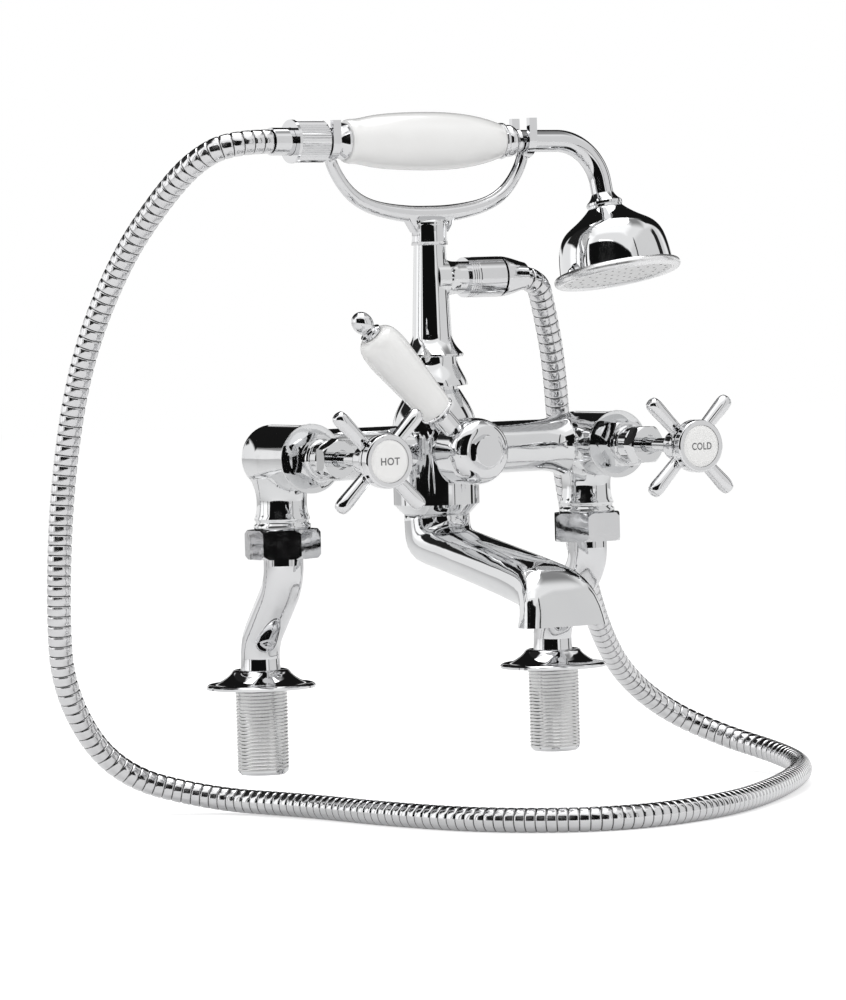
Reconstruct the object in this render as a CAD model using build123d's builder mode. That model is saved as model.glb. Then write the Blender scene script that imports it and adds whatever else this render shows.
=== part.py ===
from build123d import *
import math
import os

os.makedirs("parts", exist_ok=True)

# Bath shower mixer with crosshead valves, a lever diverter and a cradled handset.
# Millimetres. X runs to the cold side, -Y to the bather, +Z up.
# The origin lies on the deck, midway between the two tap holes.

# Driving sizes.
tap_centres = 180.0          # distance between the two tap holes
valve_half = 93.0            # valve axis from the middle of the body
body_forward = 33.0          # body axis in front of the tap holes
valve_z = 121.0              # bar and valve axis above the deck
run_out = 1.0                # extra length of a cutting tool
fit_gap = 0.1                # radial gap of fixed pieces that slip together
turn_gap = 0.2               # radial gap of pieces that turn or slide

body_plane = Plane((0, -body_forward, 0))
front_plane = Plane((0, -body_forward, valve_z), x_dir=(1, 0, 0), z_dir=(0, -1, 0))
sides = {"hot": -1, "cold": 1}


def trace(places):
    """Join places by lines, and the places of a nested list by one smooth curve, and close the outline."""
    here = places[0]
    for step in places[1:]:
        if isinstance(step, list):
            Spline(here, *step)
            here = step[-1]
        else:
            Line(here, step)
            here = step
    if here != places[0]:
        Line(here, places[0])


def scaled(shares, radius, length):
    """Turn an outline in shares into sizes, nested curves included."""
    sizes = []
    for step in shares:
        if isinstance(step, list):
            sizes.append([(radius * a, length * b) for a, b in step])
        else:
            sizes.append((radius * step[0], length * step[1]))
    return sizes


def half_outline(seat, radius, length, shares):
    """The half outline of a turned piece that stands on the seat plane."""
    with BuildSketch(Plane(seat.origin, x_dir=seat.x_dir, z_dir=-seat.y_dir)) as outline:
        with BuildLine():
            trace(scaled(shares, radius, length))
        make_face()
    return outline.sketch


def turned(seat, radius, length, shares, mode=Mode.ADD):
    """Turn an outline of (radius, height) shares about the seat's axis."""
    revolve(half_outline(seat, radius, length, shares), axis=Axis(seat.origin, seat.z_dir), mode=mode)


def rod(seat, radius, start, end, mode=Mode.ADD):
    """A cylinder on the seat's axis, between two heights above the seat."""
    with BuildSketch(seat.offset(start)) as disc:
        Circle(radius)
    extrude(disc.sketch, amount=end - start, mode=mode)


def bore(seat, radius, start, end):
    """A round hole on the seat's axis, between two heights above the seat."""
    rod(seat, radius, start, end, mode=Mode.SUBTRACT)


def prism(seat, across, start, end, turn=0.0):
    """A hexagonal bar on the seat's axis, given its size across the flats."""
    with BuildSketch(seat.offset(start)) as flats:
        RegularPolygon(across / 2, 6, major_radius=False, rotation=turn)
    extrude(flats.sketch, amount=end - start)


def save(piece, name):
    """Label a finished piece and write its file."""
    piece.part.label = name
    export_step(piece.part, f"parts/{name}.step")


# Feet and legs.
leg_r = 10.2                 # outside of the cranked leg tube
leg_bore_r = 8.0
leg_low_z = 24.0             # lower corner of the crank
leg_high_z = 56.0            # upper corner of the crank
leg_bend_r = 22.0
leg_foot_r = 11.3            # flare of the leg above its flange
leg_foot_h = 9.0
tail_r = 13.2                # 3/4 inch pipe thread, major radius
tail_below = 45.0            # threaded tail under the deck
tail_above = 2.5
tail_chamfer = 1.5
leg_collar_r = 13.5          # collar that the union nut pulls up
leg_collar_h = 3.0
foot_r = 28.5
foot_h = 9.8
nut_across = 34.0
nut_h = 15.0
nut_z = 69.0                 # underside of the union nut
nut_lip = 3.0
washer_h = 2.2
nut_bevel_share = 0.12
foot_shares = (
    (0, 0), (1, 0), (1, 0.12), [(0.965, 0.22), (0.916, 0.25)],
    [(0.79, 0.31), (0.68, 0.48), (0.586, 0.69), (0.53, 0.88)], [(0.50, 0.96), (0.442, 1)], (0, 1),
)
foot_hollow_shares = ((0, 0), (0.93, 0), (0.86, 0.12), (0.66, 0.30), (0.56, 0.52), (0.49, 0.72), (0, 0.72))
nut_shares = ((0, 0), (0.93, 0), (1, nut_bevel_share), (1, 1 - nut_bevel_share), (0.93, 1), (0, 1))
leg_foot_shares = ((0, 0), (1, 0), [(0.93, 0.45), (0.9, 1)], (0, 1))

seat_z = nut_z + nut_lip + leg_collar_h      # top face of the leg
inlet_z = seat_z + washer_h                  # lower face of the body's threaded inlet
collar_z = nut_z + nut_h                     # body collar above the union nut


def leg_line(side):
    """Corners of the cranked leg from the deck to the union."""
    foot_x = side * tap_centres / 2
    top_x = side * valve_half
    return (
        (foot_x, 0, 0),
        (foot_x, 0, leg_low_z),
        (top_x, -body_forward, leg_high_z),
        (top_x, -body_forward, seat_z),
    )


def cranked_leg(side):
    points = leg_line(side)
    foot = Plane(points[0])
    top = Plane(points[-1])
    with BuildPart() as leg:
        with BuildLine() as path:
            FilletPolyline(*points, radius=leg_bend_r)
        with BuildSketch(foot) as tube:
            Circle(leg_r)
        sweep(tube.sketch, path=path.line)
        rod(foot, tail_r, -tail_below, tail_above)
        chamfer(leg.edges().sort_by(Axis.Z)[0], tail_chamfer)
        turned(foot.offset(tail_above), leg_foot_r, foot_h + leg_foot_h - tail_above, leg_foot_shares)
        rod(top, leg_collar_r, -leg_collar_h, 0)
        with BuildSketch(foot) as water:
            Circle(leg_bore_r)
        sweep(water.sketch, path=path.line, mode=Mode.SUBTRACT)
        bore(foot, leg_bore_r, -tail_below - run_out, run_out)
    return leg


def deck_flange(side):
    foot = Plane(leg_line(side)[0])
    with BuildPart() as flange:
        turned(foot, foot_r, foot_h, foot_shares)
        turned(foot, foot_r, foot_h, foot_hollow_shares, mode=Mode.SUBTRACT)
        bore(foot, leg_foot_r + fit_gap, 0, foot_h + run_out)
    return flange


def union_nut(side, turn):
    seat = Plane((side * valve_half, -body_forward, nut_z))
    corner_r = nut_across / math.sqrt(3)
    with BuildPart() as nut:
        prism(seat, nut_across, 0, nut_h, turn)
        turned(seat, corner_r, nut_h, nut_shares, mode=Mode.INTERSECT)
        bore(seat, leg_r + turn_gap, -run_out, nut_lip)
        bore(seat, leg_collar_r + fit_gap, nut_lip, nut_h + run_out)
    return nut


def union_washer(side):
    seat = Plane((side * valve_half, -body_forward, seat_z))
    with BuildPart() as washer:
        rod(seat, leg_collar_r - fit_gap, 0, washer_h)
        bore(seat, leg_bore_r, -run_out, washer_h + run_out)
    return washer


nut_turns = {"hot": 30.0, "cold": 0.0}       # a flat, or a corner, to the front left
for name, side in sides.items():
    save(cranked_leg(side), f"{name}_leg")
    save(deck_flange(side), f"{name}_flange")
    save(union_nut(side, nut_turns[name]), f"{name}_union_nut")
    save(union_washer(side), f"{name}_union_washer")

# Body casting.
bar_r = 13.6
bar_bore_r = 9.0
flare_r = 16.6               # bar where it runs into a valve chamber
flare_length = 15.0
chamber_r = 16.9
chamber_back = 15.0          # chamber behind the bar axis
disc_r = 17.8                # polished rim at the mouth of the chamber
disc_h = 1.8
mouth = 32.8                 # mouth of the chamber in front of the bar axis
seat_f = 1.0                 # front face of the valve seat
seat_wall = 3.0
seat_hole_r = 6.0
rear_depth = 9.0             # water space behind the valve seat
rear_r = 10.0
bonnet_bore_r = 10.4         # threaded bore that takes the headwork
port_r = 4.0
port_offset = 6.5            # ports beside the bar axis, behind and in front of the seat
inlet_r = 14.7
inlet_bore_r = 8.6
inlet_rise = 27.0            # length of the waisted inlet
barrel_r = 22.4
barrel_z = 88.0              # underside of the central barrel
barrel_top_z = 131.0
barrel_bevel = 5.0
cone_h = 21.8                # cone above the barrel
barrel_bore_r = 14.0
shuttle_low_z = 101.0        # seat that shuts off the spout
seat_gap = 0.05              # left over either seat at the ends of the shuttle's travel
low_hole_r = 9.0
high_hole_r = 7.5
high_wall = 4.0
spout_socket_r = 14.5
spout_socket_h = 8.0
riser_socket_r = 9.0
boss_r = 13.0                # boss that carries the diverter
boss_f = 25.5
bush_r = 8.2
inlet_shares = (
    (0, 0), (1, 0), (1, 0.09), (0.93, 0.12), (0.93, 0.16), (0.97, 0.18), (0.97, 0.22),
    [(0.90, 0.33), (0.875, 0.5), (0.89, 0.66), (0.96, 0.82), (1.12, 1)], (0, 1),
)
flare_shares = ((0, 0), (1, 0), [(0.88, 0.35), (0.82, 1)], (0, 1))
barrel_shares = (
    (0, 0), (0.79, 0), (1, 0.075), (1, 0.62), [(0.985, 0.7), (0.93, 0.79), (0.75, 0.92), (0.61, 1)], (0, 1),
)

cone_top_z = barrel_top_z + cone_h
shuttle_high_z = 2 * valve_z - shuttle_low_z     # seat that shuts off the riser
low_column = body_plane.offset(barrel_z)


def chamber_plane(side):
    """The valve axis, out towards the bather from the bar axis."""
    return Plane((side * valve_half, -body_forward, valve_z), x_dir=(1, 0, 0), z_dir=(0, -1, 0))


with BuildPart() as tap_body:
    bar_seat = Plane((-valve_half, -body_forward, valve_z), x_dir=(0, 1, 0), z_dir=(1, 0, 0))
    rod(bar_seat, bar_r, 0, 2 * valve_half)
    turned(low_column, barrel_r, cone_top_z - barrel_z, barrel_shares)
    rod(front_plane, boss_r, 0, boss_f)
    for side in sides.values():
        chamber = chamber_plane(side)
        turned(
            chamber.offset(-chamber_back), chamber_r, chamber_back + mouth - disc_h,
            ((0, 0), (0.72, 0), [(0.93, 0.05), (1, 0.15)], (1, 1), (0, 1)),
        )
        rod(chamber, disc_r, mouth - disc_h, mouth)
        flare_x = side * (valve_half - chamber_r + run_out)
        inward = Plane((flare_x, -body_forward, valve_z), x_dir=(0, 1, 0), z_dir=(-side, 0, 0))
        turned(inward, flare_r, flare_length, flare_shares)
        inlet = Plane((side * valve_half, -body_forward, collar_z))
        turned(inlet, inlet_r, inlet_rise, inlet_shares)
        rod(inlet, leg_collar_r, inlet_z - collar_z, 0)
    bore(bar_seat, bar_bore_r, chamber_r + port_r, 2 * valve_half - chamber_r - port_r)
    bore(body_plane, barrel_bore_r, shuttle_low_z, shuttle_high_z)
    bore(body_plane, low_hole_r, barrel_z - run_out, shuttle_low_z + run_out)
    bore(body_plane, spout_socket_r, barrel_z - run_out, barrel_z + spout_socket_h)
    bore(body_plane, high_hole_r, shuttle_high_z - run_out, cone_top_z + run_out)
    bore(body_plane, riser_socket_r, shuttle_high_z + high_wall, cone_top_z + run_out)
    bore(front_plane, bush_r + fit_gap, bush_r, boss_f + run_out)
    for side in sides.values():
        chamber = chamber_plane(side)
        bore(chamber, bonnet_bore_r, seat_f, mouth + run_out)
        bore(chamber, seat_hole_r, seat_f - seat_wall - run_out, seat_f + run_out)
        bore(chamber, rear_r, seat_f - seat_wall - rear_depth, seat_f - seat_wall)
        inlet = Plane((side * valve_half, -body_forward, inlet_z))
        bore(inlet, inlet_bore_r, -run_out, valve_z - rear_r - bonnet_bore_r / 2 - inlet_z)
        rear_port = Plane((side * valve_half, -body_forward + port_offset, inlet_z))
        bore(rear_port, port_r, collar_z - inlet_z, valve_z - rear_r / 2 - inlet_z)
        front_port = Plane((0, -body_forward - port_offset, valve_z), x_dir=(0, 1, 0), z_dir=(side, 0, 0))
        bore(front_port, port_r, valve_half - chamber_r - port_r - run_out, valve_half - bonnet_bore_r / 2)
save(tap_body, "tap_body")

# Spout.
spout_r = 17.0               # neck of the spout
spout_wall = 2.5
spout_reach = 128.0          # lip in front of the body axis
lip_z = 34.0
lip_half = 24.0              # half width of the outlet
outlet_depth = 15.0
spout_top_z = barrel_z       # shoulder against the underside of the barrel
spout_fall = spout_top_z - lip_z
# Each section: front or upper edge, back or lower edge, half width, squareness.
# Places are shares of the reach and of the fall, widths are shares of the lip.
spout_section_shares = (
    ((0.133, 1.00), (-0.133, 1.00), 0.71, 2.0),
    ((0.136, 0.95), (-0.133, 0.80), 0.71, 2.0),
    ((0.150, 0.89), (-0.117, 0.63), 0.71, 2.0),
    ((0.185, 0.86), (-0.055, 0.52), 0.71, 2.1),
    ((0.250, 0.83), (0.078, 0.46), 0.70, 2.2),
    ((0.352, 0.785), (0.297, 0.37), 0.69, 2.3),
    ((0.586, 0.690), (0.563, 0.25), 0.69, 2.4),
    ((0.781, 0.600), (0.750, 0.165), 0.73, 2.6),
    ((0.875, 0.530), (0.840, 0.125), 0.80, 3.0),
    ((0.945, 0.390), (0.868, 0.090), 0.88, 3.6),
    ((0.983, 0.190), (0.880, 0.050), 0.95, 4.4),
    ((1.000, 0.000), (0.883, 0.000), 1.00, 5.0),
)
section_points = 16
spout_steps = 2


def spout_place(share):
    """A place in the middle plane of the spout, from shares of its reach and fall."""
    return Vector(0, -body_forward - spout_reach * share[0], lip_z + spout_fall * share[1])


def eased(rows, steps):
    """Put more rows between the given ones, along smooth curves through their values."""
    flat = [(*up, *low, half, square) for up, low, half, square in rows]
    last = len(flat) - 1
    gaps = [math.dist(a[:4], b[:4]) for a, b in zip(flat, flat[1:])]
    slopes = []
    for i in range(len(flat)):
        before, after = max(i - 1, 0), min(i + 1, last)
        span = sum(gaps[before:after])
        slopes.append([(b - a) / span for a, b in zip(flat[before], flat[after])])
    result = []
    for i in range(last):
        for k in range(steps):
            t = k / steps
            row = []
            for a, b, m, n in zip(flat[i], flat[i + 1], slopes[i], slopes[i + 1]):
                rise = a * (2 * t**3 - 3 * t**2 + 1) + b * (3 * t**2 - 2 * t**3)
                row.append(rise + gaps[i] * (m * (t**3 - 2 * t**2 + t) + n * (t**3 - t**2)))
            result.append(((row[0], row[1]), (row[2], row[3]), row[4], row[5]))
    return result + [rows[-1]]


def spout_section(upper, lower, half_width, squareness, inset):
    """One closed cross-section of the spout, drawn in by the inset."""
    up = spout_place(upper)
    low = spout_place(lower)
    half_height = (up - low).length / 2
    tilt = Vector(1, 0, 0).cross((up - low).normalized())
    points = []
    for i in range(section_points):
        angle = 2 * math.pi * i / section_points
        c = math.cos(angle)
        s = math.sin(angle)
        x = math.copysign(abs(c) ** (2 / squareness), c) * (lip_half * half_width - inset)
        y = math.copysign(abs(s) ** (2 / squareness), s) * (half_height - inset)
        points.append((x, y))
    with BuildSketch(Plane((up + low) / 2, x_dir=(1, 0, 0), z_dir=tilt)) as section:
        with BuildLine():
            Spline(*points, periodic=True)
        make_face()
    return section.sketch


def spout_body(inset, mode=Mode.ADD):
    """The spout as short spans between neighbouring sections."""
    sections = [spout_section(*row, inset) for row in eased(spout_section_shares, spout_steps)]
    for pair in zip(sections, sections[1:]):
        loft(list(pair), ruled=True, mode=mode)


with BuildPart() as spout:
    spout_body(0)
    spout_body(spout_wall, mode=Mode.SUBTRACT)
    neck_low_z = spout_top_z - 2 * spout_wall
    neck_high_z = spout_top_z + spout_socket_h
    rod(body_plane, spout_r - spout_wall / 2, neck_low_z, spout_top_z)
    rod(body_plane, spout_socket_r - fit_gap, neck_low_z, neck_high_z)
    bore(body_plane, spout_socket_r - spout_wall, neck_low_z - run_out, neck_high_z + run_out)
save(spout, "spout")

# Headwork of the two valves.
bonnet_across = 23.0
bonnet_hex_h = 10.2
bonnet_neck_r = 10.4
bonnet_neck_h = 11.0
bonnet_inside = 18.0         # threaded length inside the chamber
gland_across = 18.6
gland_h = 8.0
gland_recess_r = 5.3
gland_recess_h = 2.0
spindle_r = 3.7
spindle_thread_r = 5.6       # rising thread inside the bonnet
spindle_thread_f = 7.0       # inner end of the spindle
spindle_thread_h = 22.0
valve_lift = 4.0             # travel of the jumper from shut to open
valve_turns = 2.0            # turns of the cross head from shut to open
jumper_r = 8.6
jumper_h = 2.4
jumper_washer_h = 2.5
jumper_stem_r = 2.4
jumper_stem_h = 9.0
jumper_screw_r = 2.6
bonnet_shares = (
    (0, 0), (0.93, 0), (1, 0.05), (1, 0.42), [(0.94, 0.47), (0.80, 0.49)],
    (0.775, 0.58), (0.72, 0.61), (0.72, 0.95), (0.66, 1), (0, 1),
)
gland_shares = ((0, 0), (1, 0), (1, 0.62), [(0.96, 0.86), (0.86, 1)], (0, 1))

bonnet_f = mouth + bonnet_hex_h
gland_f = bonnet_f + bonnet_neck_h
gland_end_f = gland_f + gland_h
bonnet_turns = {"hot": 30.0, "cold": 0.0}    # corners up and down, or left and right


def bonnet(side, turn):
    seat = chamber_plane(side)
    with BuildPart() as piece:
        prism(seat, bonnet_across, mouth, gland_f, turn)
        corner_r = bonnet_across / math.sqrt(3)
        turned(seat.offset(mouth), corner_r, gland_f - mouth, bonnet_shares, mode=Mode.INTERSECT)
        rod(seat, bonnet_bore_r - fit_gap, mouth - bonnet_inside, mouth)
        thread_end_f = spindle_thread_f + spindle_thread_h + valve_lift + turn_gap
        bore(seat, spindle_thread_r + turn_gap, mouth - bonnet_inside - run_out, thread_end_f)
        bore(seat, spindle_r + turn_gap, mouth, gland_f + run_out)
    return piece


def gland_nut(side, turn):
    seat = chamber_plane(side)
    with BuildPart() as piece:
        prism(seat, gland_across, gland_f, gland_end_f, turn)
        turned(seat.offset(gland_f), gland_across / math.sqrt(3), gland_h, gland_shares, mode=Mode.INTERSECT)
        bore(seat, gland_recess_r, gland_end_f - gland_recess_h, gland_end_f + run_out)
        bore(seat, spindle_r + turn_gap, gland_f - run_out, gland_end_f)
    return piece


def jumper(side):
    seat = chamber_plane(side).offset(seat_f)
    with BuildPart() as piece:
        rod(seat, jumper_r, jumper_washer_h, jumper_washer_h + jumper_h)
        rod(seat, jumper_stem_r, jumper_washer_h + jumper_h, jumper_washer_h + jumper_h + jumper_stem_h)
        rod(seat, jumper_screw_r, 0, jumper_washer_h)
    return piece


def jumper_washer(side):
    seat = chamber_plane(side).offset(seat_f)
    with BuildPart() as piece:
        rod(seat, jumper_r - fit_gap, 0, jumper_washer_h)
        bore(seat, jumper_screw_r, -run_out, jumper_washer_h + run_out)
    return piece


# Cross heads with porcelain buttons.
hub_r = 8.6
hub_f = 87.0                 # back of the hub in front of the bar axis
arm_reach = 34.0             # tip of an arm from the spindle axis
arm_wide = 7.6
arm_deep = 7.4
arm_round = 1.6
bezel_r = 13.6
bezel_f = 104.8
bezel_h = 6.9
bezel_lip = 1.2
button_r = 10.8
button_f = 112.2             # front of the porcelain button
button_crown = 0.9
hub_shares = (
    (0, 0), (0.80, 0), [(0.90, 0.03), (0.93, 0.10)], [(0.86, 0.30), (0.90, 0.50), (1, 0.62)],
    (1.12, 0.70), (1.12, 0.97), (1, 1), (0, 1),
)
bezel_shares = (
    (0, 0), (1, 0), (1, 0.20), (0.955, 0.24), (0.955, 0.36),
    (1, 0.40), (1, 0.86), [(0.975, 0.96), (0.93, 1)], (0, 1),
)
arm_shares = ((0.16, 0.86), (0.60, 0.92), (0.88, 1.0), (1.0, 0.86))
arm_count = 4
arm_f = bezel_f - arm_deep / 2               # plane of the four arms
arm_angle = 45.0


def spindle(side):
    seat = chamber_plane(side)
    with BuildPart() as piece:
        rod(seat, spindle_thread_r, spindle_thread_f, spindle_thread_f + spindle_thread_h)
        rod(seat, spindle_r, spindle_thread_f, bezel_f)
        stem_end_f = seat_f + jumper_washer_h + jumper_h + jumper_stem_h
        bore(seat, jumper_stem_r + turn_gap, spindle_thread_f - run_out, stem_end_f + run_out)
    return piece


def cross_head(side):
    seat = chamber_plane(side)
    with BuildPart() as piece:
        turned(seat.offset(hub_f), hub_r, bezel_f - hub_f, hub_shares)
        for arm in range(arm_count):
            turn = math.radians(arm_angle + arm * 360 / arm_count)
            out = seat.x_dir * math.cos(turn) + seat.y_dir * math.sin(turn)
            along = Plane(seat.offset(arm_f).origin, x_dir=seat.z_dir, z_dir=out)
            sections = []
            for reach, width in arm_shares:
                with BuildSketch(along.offset(arm_reach * reach)) as section:
                    RectangleRounded(arm_deep * width, arm_wide * width, arm_round * width)
                sections.append(section.sketch)
            for pair in zip(sections, sections[1:]):
                loft(list(pair), ruled=True)
        bore(seat, spindle_r, hub_f - run_out, bezel_f + run_out)
    return piece


def bezel(side):
    seat = chamber_plane(side)
    with BuildPart() as piece:
        turned(seat.offset(bezel_f), bezel_r, bezel_h, bezel_shares)
        bore(seat, button_r + fit_gap, bezel_f + bezel_lip, bezel_f + bezel_h + run_out)
    return piece


def button(side):
    seat = chamber_plane(side).offset(bezel_f + bezel_lip)
    height = button_f - bezel_f - bezel_lip
    crown_share = 1 - button_crown / height
    with BuildPart() as piece:
        shares = ((0, 0), (1, 0), (1, crown_share), [(0.93, (1 + crown_share) / 2), (0.80, 1)], (0, 1))
        turned(seat, button_r, height, shares)
    return piece


for name, side in sides.items():
    save(bonnet(side, bonnet_turns[name]), f"{name}_bonnet")
    save(gland_nut(side, bonnet_turns[name]), f"{name}_gland_nut")
    save(jumper(side), f"{name}_jumper")
    save(jumper_washer(side), f"{name}_jumper_washer")
    save(spindle(side), f"{name}_spindle")
    save(cross_head(side), f"{name}_cross_head")
    save(bezel(side), f"{name}_bezel")
    save(button(side), f"{name}_button")

# Diverter: bush, spindle, shuttle and lever.
lever_lean = 42.9            # lever left of upright in the bath position, in degrees
lever_f = 37.0               # lever axis in front of the body axis
divert_spindle_r = 4.0
divert_web_r = 7.4
divert_web_h = 3.0
divert_web_f = 6.5           # back of the web
divert_pin_r = 1.5
divert_throw = 6.0           # eccentric pin from the spindle axis
divert_pin_back = 4.0        # pin behind the body axis
bush_f = 12.0
hub_back_f = 26.0
lever_hub_r = 17.3
lever_hub_h = 25.0
hub_flat_r = 8.8
cap_across = 15.5
cap_h = 3.2
stem_r = 5.2
stem_top = 25.2
lever_hub_shares = (
    (0, 0), (0.80, 0), [(0.93, 0.03), (1, 0.12)], (1, 0.62),
    [(0.97, 0.76), (0.87, 0.90), (0.71, 0.975), (0.51, 1)], (0, 1),
)
cap_shares = ((0, 0), (1, 0), (1, 0.55), [(0.95, 0.82), (0.84, 1)], (0, 1))
shuttle_stem_r = 3.2
shuttle_disc_r = 11.5
shuttle_disc_h = 2.4
shuttle_washer_h = 1.6
shuttle_block_x = 18.0
shuttle_block_y = 8.0
shuttle_block_z = 11.0
slot_gap = 0.4

shuttle_drop = 2 * divert_throw * math.sin(math.radians(lever_lean))
shuttle_mid_z = valve_z + divert_throw * math.sin(math.radians(lever_lean))
shuttle_top_z = shuttle_high_z - seat_gap
shuttle_bottom_z = shuttle_low_z + shuttle_drop + seat_gap
pin_x = divert_throw * math.cos(math.radians(lever_lean))
cap_f = hub_back_f + lever_hub_h

with BuildPart() as diverter_bush:
    rod(front_plane, bush_r, bush_f, boss_f)
    bore(front_plane, divert_spindle_r + turn_gap, bush_f - run_out, boss_f + run_out)
save(diverter_bush, "diverter_bush")

with BuildPart() as diverter_spindle:
    rod(front_plane, divert_spindle_r, divert_web_f, cap_f + cap_h / 2)
    rod(front_plane, divert_web_r, divert_web_f, divert_web_f + divert_web_h)
    pin_seat = Plane(
        (pin_x, -body_forward, shuttle_mid_z), x_dir=(1, 0, 0), z_dir=(0, -1, 0),
    )
    rod(pin_seat, divert_pin_r, -divert_pin_back, divert_web_f)
save(diverter_spindle, "diverter_spindle")

lever_tilt = math.radians(lever_lean)
lever_seat = Plane(
    (0, -body_forward - lever_f, valve_z), x_dir=(math.cos(lever_tilt), 0, math.sin(lever_tilt)),
    z_dir=(-math.sin(lever_tilt), 0, math.cos(lever_tilt)),
)
hub_seat = front_plane.offset(hub_back_f)
lever_rod_r = 2.4
rod_bottom = 20.0
collar_h = 5.4
collar_r = 9.4
grip_bottom = stem_top + collar_h
grip_length = 54.0
grip_r = 11.7
grip_top = grip_bottom + grip_length
finial_r = 5.8
finial_h = 14.6
ball_r = 5.3
collar_shares = (
    (0, 0), (0.56, 0), [(0.60, 0.25), (0.80, 0.55), (0.95, 0.70)], (1, 0.78), (1, 0.94), (0.96, 1), (0, 1),
)
grip_shares = (
    (0, 0), (0.74, 0),
    [
        (0.775, 0.04), (0.82, 0.18), (0.90, 0.42), (0.975, 0.64), (1, 0.76), (0.97, 0.86),
        (0.86, 0.945), (0.66, 0.99), (0.45, 1),
    ],
    (0, 1),
)
finial_shares = (
    (0, 0), (0.78, 0), (1, 0.05), (1, 0.14), (0.72, 0.19), (0.62, 0.25), (0.72, 0.30),
    [(0.86, 0.41), (0.915, 0.62), (0.74, 0.84), (0.40, 0.965), (0, 1)],
)

with BuildPart() as lever_hub:
    turned(hub_seat, lever_hub_r, lever_hub_h, lever_hub_shares)
    rod(lever_seat, stem_r, lever_hub_r / 2, stem_top)
    bore(front_plane, divert_spindle_r, hub_back_f - run_out, cap_f + run_out)
    bore(lever_seat, lever_rod_r, rod_bottom, stem_top + run_out)
save(lever_hub, "lever_hub")

with BuildPart() as lever_cap_nut:
    prism(front_plane, cap_across, cap_f, cap_f + cap_h, 30.0)
    turned(front_plane.offset(cap_f), cap_across / math.sqrt(3), cap_h, cap_shares, mode=Mode.INTERSECT)
    bore(front_plane, divert_spindle_r, cap_f - run_out, cap_f + cap_h / 2)
save(lever_cap_nut, "lever_cap_nut")

with BuildPart() as lever_collar:
    turned(lever_seat.offset(stem_top), collar_r, collar_h, collar_shares)
    bore(lever_seat, lever_rod_r, stem_top - run_out, grip_bottom + run_out)
save(lever_collar, "lever_collar")

with BuildPart() as lever_grip:
    turned(lever_seat.offset(grip_bottom), grip_r, grip_length, grip_shares)
    bore(lever_seat, lever_rod_r, grip_bottom - run_out, grip_top + run_out)
save(lever_grip, "lever_grip")

with BuildPart() as lever_rod:
    rod(lever_seat, lever_rod_r, rod_bottom, grip_top + finial_h / 2)
save(lever_rod, "lever_rod")

with BuildPart() as lever_finial:
    turned(lever_seat.offset(grip_top), finial_r, finial_h, finial_shares)
    bore(lever_seat, lever_rod_r, grip_top - run_out, grip_top + finial_h / 2)
save(lever_finial, "lever_finial")

with BuildPart() as diverter_shuttle:
    rod(body_plane, shuttle_stem_r, shuttle_bottom_z, shuttle_top_z)
    for disc_z in (shuttle_bottom_z + shuttle_washer_h, shuttle_top_z - shuttle_washer_h - shuttle_disc_h):
        rod(body_plane, shuttle_disc_r, disc_z, disc_z + shuttle_disc_h)
    with BuildSketch(body_plane.offset(shuttle_mid_z - shuttle_block_z / 2)) as block:
        Rectangle(shuttle_block_x, shuttle_block_y)
    extrude(block.sketch, amount=shuttle_block_z)
    slot_start = pin_x - divert_pin_r - slot_gap
    slot_end = divert_throw + divert_pin_r + slot_gap
    slot_h = 2 * (divert_pin_r + slot_gap)
    slot_middle = ((slot_start + slot_end) / 2, -body_forward - shuttle_block_y, shuttle_mid_z)
    with BuildSketch(Plane(slot_middle, x_dir=(1, 0, 0), z_dir=(0, 1, 0))) as slot:
        Rectangle(slot_end - slot_start, slot_h)
    extrude(slot.sketch, amount=2 * shuttle_block_y, mode=Mode.SUBTRACT)
save(diverter_shuttle, "diverter_shuttle")

for name, level in {"low": shuttle_bottom_z, "high": shuttle_top_z - shuttle_washer_h}.items():
    with BuildPart() as shuttle_washer:
        rod(body_plane, shuttle_disc_r, level, level + shuttle_washer_h)
        bore(body_plane, shuttle_stem_r, level - run_out, level + shuttle_washer_h + run_out)
    save(shuttle_washer, f"shuttle_{name}_washer")

# Riser column with its union and the hose branch.
union_z = cone_top_z
union_h = 17.0
union_r = 18.0
column_foot_r = 16.2
column_foot_h = 12.0
column_top_z = 228.4
column_top_r = 8.3
column_low_r = 10.2
column_bore_r = 6.0
branch_z = 211.0
branch_r = 8.5
branch_end = 19.7
branch_root_r = 10.4
branch_spigot_r = 7.0
branch_spigot_end = 33.0
branch_bore_r = 4.5
ring_r = 10.5
ring_h = 5.3
ring_lines = 3
ring_line_depth = 0.3
ring_line_share = 0.09
hose_nut_r = 10.6
hose_nut_h = 16.6
hose_nut_chamfer = 0.6
cone_gap = 0.6
cone_length = 14.6
cone_end_r = 7.1
cone_spigot_r = 6.0
hose_washer_h = 2.0
hose_r = 6.3                 # outside of the hose
hose_bore_r = 4.4
hose_plain_r = 5.8           # valleys between the ribs
branch_root_shares = ((0, 0), (1, 0), (1, 0.36), [(0.89, 0.50), (0.82, 0.72)], (0, 0.72))
union_shares = ((0, 0), (0.70, 0), (0.70, 0.09), (1, 0.13), [(0.985, 0.20), (0.85, 0.52), (0.70, 1)], (0, 1))
column_foot_shares = ((0, 0), (0.96, 0), (1, 0.06), (1, 0.13), [(0.90, 0.27), (0.72, 0.6), (0.63, 1)], (0, 1))

column_z = union_z + union_h
branch_seat = Plane((0, -body_forward, branch_z), x_dir=(0, 1, 0), z_dir=(1, 0, 0))
nut_x = branch_end + ring_h
cone_x = nut_x + hose_nut_h + cone_gap
cone_end_x = cone_x + cone_length

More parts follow.
